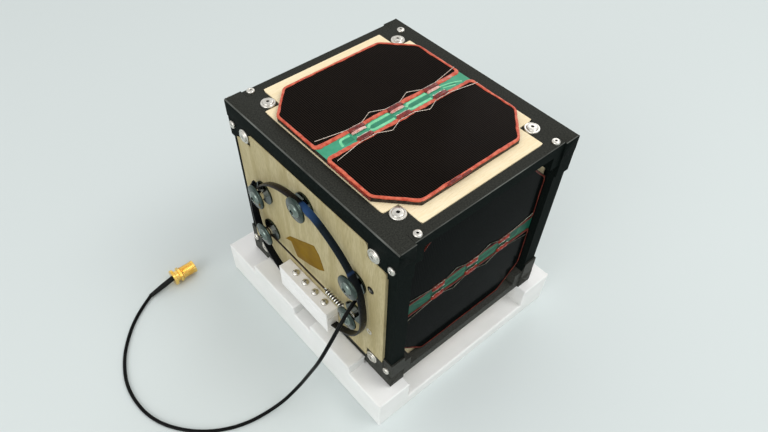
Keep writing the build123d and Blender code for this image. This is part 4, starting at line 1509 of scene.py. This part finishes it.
@dataclass
class AerialLead:
    """The coax, the gland that it leaves, its tapered sleeve and its gold connector, in the part's frame."""

    # The route's control points, in metres, as in the part's source
    route: tuple[Point, ...] = (
        (0.0380, -0.0520, 0.0720), (0.0390, -0.0570, 0.0702), (0.0408, -0.0645, 0.0645),
        (0.0405, -0.0705, 0.0550), (0.0385, -0.0750, 0.0435), (0.0340, -0.0775, 0.0305),
        (0.0295, -0.0820, 0.0160), (0.0250, -0.0930, 0.0015), (0.0220, -0.1135, 0.0009),
        (0.0105, -0.1320, 0.0009), (-0.0085, -0.1450, 0.0009), (-0.0305, -0.1468, 0.0009),
        (-0.0482, -0.1406, 0.0009), (-0.0626, -0.1296, 0.0009), (-0.0720, -0.1182, 0.0010),
        (-0.0764, -0.1093, 0.0015))
    length: float = 0.2335
    diameter: float = 0.0018
    # Middle of the connector's back, and its sizes from there to the tip, in millimetres
    back: Point = (-76.8, -94.4, 4.65)
    flange: float = 9.3
    flange_length: float = 1.8
    neck: float = 6.3
    neck_length: float = 1.9
    hexagon: float = 7.4
    hexagon_length: float = 1.7
    barrel: float = 7.2
    barrel_length: float = 8.6
    thread_pitch: float = 0.75
    thread_depth: float = 0.32
    # Plain lengths of the barrel before and after the thread, and the length over which the thread runs out
    plain_from: float = 0.4
    plain_to: float = 0.9
    run_out: float = 0.6
    bore: float = 4.6
    bore_depth: float = 4.0

    def lead(self) -> Object:
        """Lay the lead: a smooth spline of order three with the route's points as its control points.

        Returns:
            The curve, with a round section.
        """
        curve = bpy.data.curves.new("coax_lead", "CURVE")
        curve.dimensions = "3D"
        spline = curve.splines.new("NURBS")
        spline.points.add(len(self.route) - 1)
        spline.points.foreach_set("co", np.array([(*point, 1.0) for point in self.route]).ravel())
        spline.order_u = 3
        spline.use_endpoint_u = True
        spline.resolution_u = 12
        curve.bevel_depth = self.diameter / 2
        curve.bevel_resolution = 4
        curve.use_fill_caps = True
        return stand_in("coax_lead", curve, [JACKET], ["aerial_lead"])

    def body(self) -> list[Shell]:
        """Turn the connector: a flange, a neck, a hexagon behind the barrel, and the barrel with its thread.

        The thread's radius falls by a triangle wave of (height / pitch - turn), on rings of even height.

        Returns:
            The shells, in the part's frame.
        """
        place = Placement(self.back, (1, 0, 0), (0, 1, 0))
        r, fl = self.flange / 2, self.flange_length
        n, nut_from = self.neck / 2, self.flange_length + self.neck_length
        flange = turned([(0, 0), (r - 0.3, 0), (r, 0.25), (r, fl - 0.25), (r - 0.3, fl), (n, fl),
                         (n, nut_from + 0.1), (0, nut_from + 0.1)])
        h = nut_from + self.hexagon_length
        nut = turned([(0.0, nut_from), (0.94, nut_from), (1.0, nut_from + 0.2), (1.0, h - 0.2), (0.94, h),
                      (0.0, h)], steps=72, key=self.hexagon, key_from=0)
        tip = h + self.barrel_length
        low, high = h + self.plain_from, tip - self.plain_to
        angle = np.arange(48) * TURN / 48
        z = np.linspace(low, high, 150)[:, None]
        wave = np.abs(((z / self.thread_pitch - angle / TURN) % 1.0) - 0.5) * 2
        ends = np.clip(np.minimum(z - low, high - z) / self.run_out, 0, 1)
        radius = self.barrel / 2 - self.thread_depth * wave * ends
        thread = np.stack([radius * np.cos(angle), radius * np.sin(angle), z + 0 * angle], -1)
        around = np.stack([np.cos(angle), np.sin(angle), 0 * angle], -1)
        b, deep = self.barrel / 2, tip - self.bore_depth
        before = [(0.0, h - 0.1), (b - 0.35, h - 0.1), (b - 0.35, h + 0.2), (b, low)]
        after = [(b, high), (b, tip - 0.15), (b - 0.15, tip), (self.bore / 2 + 0.1, tip),
                 (self.bore / 2, tip - 0.1), (self.bore / 2, deep), (0.0, deep)]
        rings = [np.stack([reach * around + (0, 0, height) for reach, height in rows])
                 for rows in (before, after)]
        barrel = Shell.grid(np.concatenate([rings[0], thread, rings[1]]))
        return [shell.placed(place) for shell in (flange, nut, barrel)]

    def build(self) -> None:
        """Make the lead and its connector, dress the solids beside them, and log the number of the lead's
        control points.
        """
        lead = self.lead()
        body = make_piece("gold_connector", self.body(), GOLD, ["connector_body"])
        dress("strain_relief", SLEEVE)
        dress("cable_gland", BLACK_OXIDE_AND_SHADE)
        dress("connector_insulator", INSULATOR)
        dress("connector_pin", GOLD)
        LOG.info("coax lead: %d control points", len(self.route))


@dataclass
class Plinth:
    """White display plinth."""

    edges: Softening = Softening(0.8, 3)

    def build(self) -> None:
        """Soften and dress the plinth."""
        soften("plinth", self.edges, PLINTH_WHITE)


@dataclass(frozen=True, kw_only=True)
class FloorPaint(Finish):
    """A plain pale floor."""

    colour: str = "#d9e1e0"

    def shade(self, tree: NodeTree) -> Node:
        """Build the floor's shader: one matt colour."""
        return add(tree, "BsdfDiffuse", {"Color": linear(self.colour)})


@dataclass
class Studio:
    """Floor, soft lamps, and the camera at the photograph's viewing angle."""

    floor_size: float = 60.0
    # The sky's strength at the horizon and overhead, as the surfaces get it, and as the camera sees it
    horizon: float = 0.42
    zenith: float = 0.85
    backdrop: float = 0.95
    # Lamps: name, place, what they look at, width, height and watts
    lamps: tuple[tuple, ...] = (
        ("key softbox", (0.47, 0.37, 1.00), (0.0, 0.0, 0.06), 0.45, 0.45, 3.35),
        ("front fill", (0.22, -1.10, 0.62), (0.0, 0.0, 0.06), 0.8, 0.8, 4.2),
        ("back light", (-0.50, 1.05, 0.90), (0.0, 0.0, 0.10), 0.5, 0.5, 1.2),
    )
    azimuth: float = 49.0366
    elevation: float = 53.0826
    roll: float = 0.7926
    camera_place: Point = (0.153224, -0.143818, 0.285620)
    lens: float = 28.63
    shift: Pair = (0.0161, 0.0756)
    # Nearest and furthest distance that the camera sees
    sight: Pair = (0.01, 20.0)

    def build_floor(self) -> None:
        """Make the floor, which isn't part of the object."""
        half = self.floor_size / 2
        mesh = bpy.data.meshes.new("floor")
        corners = [(-half, -half, 0), (half, -half, 0), (half, half, 0), (-half, half, 0)]
        mesh.from_pydata(corners, [], [(0, 1, 2, 3)])
        mesh.materials.append(FloorPaint(name="pale floor").material())
        floor = link_object("floor", mesh)

    def build_lamps(self) -> None:
        """Hang the lamps."""
        for name, place, target, width, height, watts in self.lamps:
            light = bpy.data.lights.new(name, "AREA")
            light.shape = "RECTANGLE"
            light.size, light.size_y, light.energy = width, height, watts
            lamp = link_object(name, light)
            lamp.location = place
            lamp.rotation_euler = (Vector(target) - Vector(place)).to_track_quat("-Z", "Y").to_euler()

    def build_sky(self) -> None:
        """Set the sky: brighter overhead for the light it gives, and an even white where it is seen."""
        world = bpy.data.worlds.new("studio sky")
        world.use_nodes = True
        tree = world.node_tree
        tree.nodes.clear()
        upward = add(tree, "SeparateXYZ", {0: add(tree, "TexCoord").outputs["Generated"]}).outputs[2]
        shade = add(tree, "MapRange", {"Value": upward, "To Min": self.horizon, "To Max": self.zenith})
        rays = add(tree, "LightPath").outputs
        seen = add(tree, "Math", {0: rays["Is Camera Ray"], 1: rays["Is Glossy Ray"]}, operation="MAXIMUM")
        seen = add(tree, "Math", {0: seen.outputs[0], 1: rays["Is Transmission Ray"]}, operation="MAXIMUM")
        strength = add(tree, "Mix", {0: seen.outputs[0], 2: shade.outputs[0], 3: self.backdrop},
                       data_type="FLOAT")
        sky = add(tree, "Background", {"Color": linear("#ffffff"), "Strength": strength.outputs[0]})
        add(tree, "OutputWorld", {"Surface": sky.outputs[0]})
        bpy.context.scene.world = world

    def build_camera(self) -> None:
        """Set up the camera from its azimuth, elevation and roll."""
        a, e, r = (math.radians(x) for x in (self.azimuth, self.elevation, self.roll))
        back = Vector((math.sin(a) * math.cos(e), -math.cos(a) * math.cos(e), math.sin(e)))
        level = Vector((math.cos(a), math.sin(a), 0))
        upright = back.cross(level)
        right = math.cos(r) * level + math.sin(r) * upright
        up = math.cos(r) * upright - math.sin(r) * level
        data = bpy.data.cameras.new("camera")
        data.lens = self.lens
        data.shift_x, data.shift_y = self.shift
        data.clip_start, data.clip_end = self.sight
        camera = link_object("camera", data)
        turn = Matrix((right, up, back)).transposed().to_4x4()
        camera.matrix_world = Matrix.Translation(self.camera_place) @ turn
        bpy.context.scene.camera = camera

    def build(self) -> None:
        """Make the floor, the lamps, the sky and the camera."""
        bpy.context.scene.view_settings.view_transform = "Standard"
        self.build_floor()
        self.build_lamps()
        self.build_sky()
        self.build_camera()


def main() -> None:
    """Build the camera, then the lead, then the rest of the satellite."""
    logging.basicConfig(level=logging.INFO, format="%(message)s")
    Studio().build()
    AerialLead().build()
    CubeFrame().build()
    Fasteners().build()
    for face in Face:
        SolarBoard(face).build()
    TapeAntenna().build()
    RootBlock().build()
    Plinth().build()


if __name__ == "__main__":
    main()
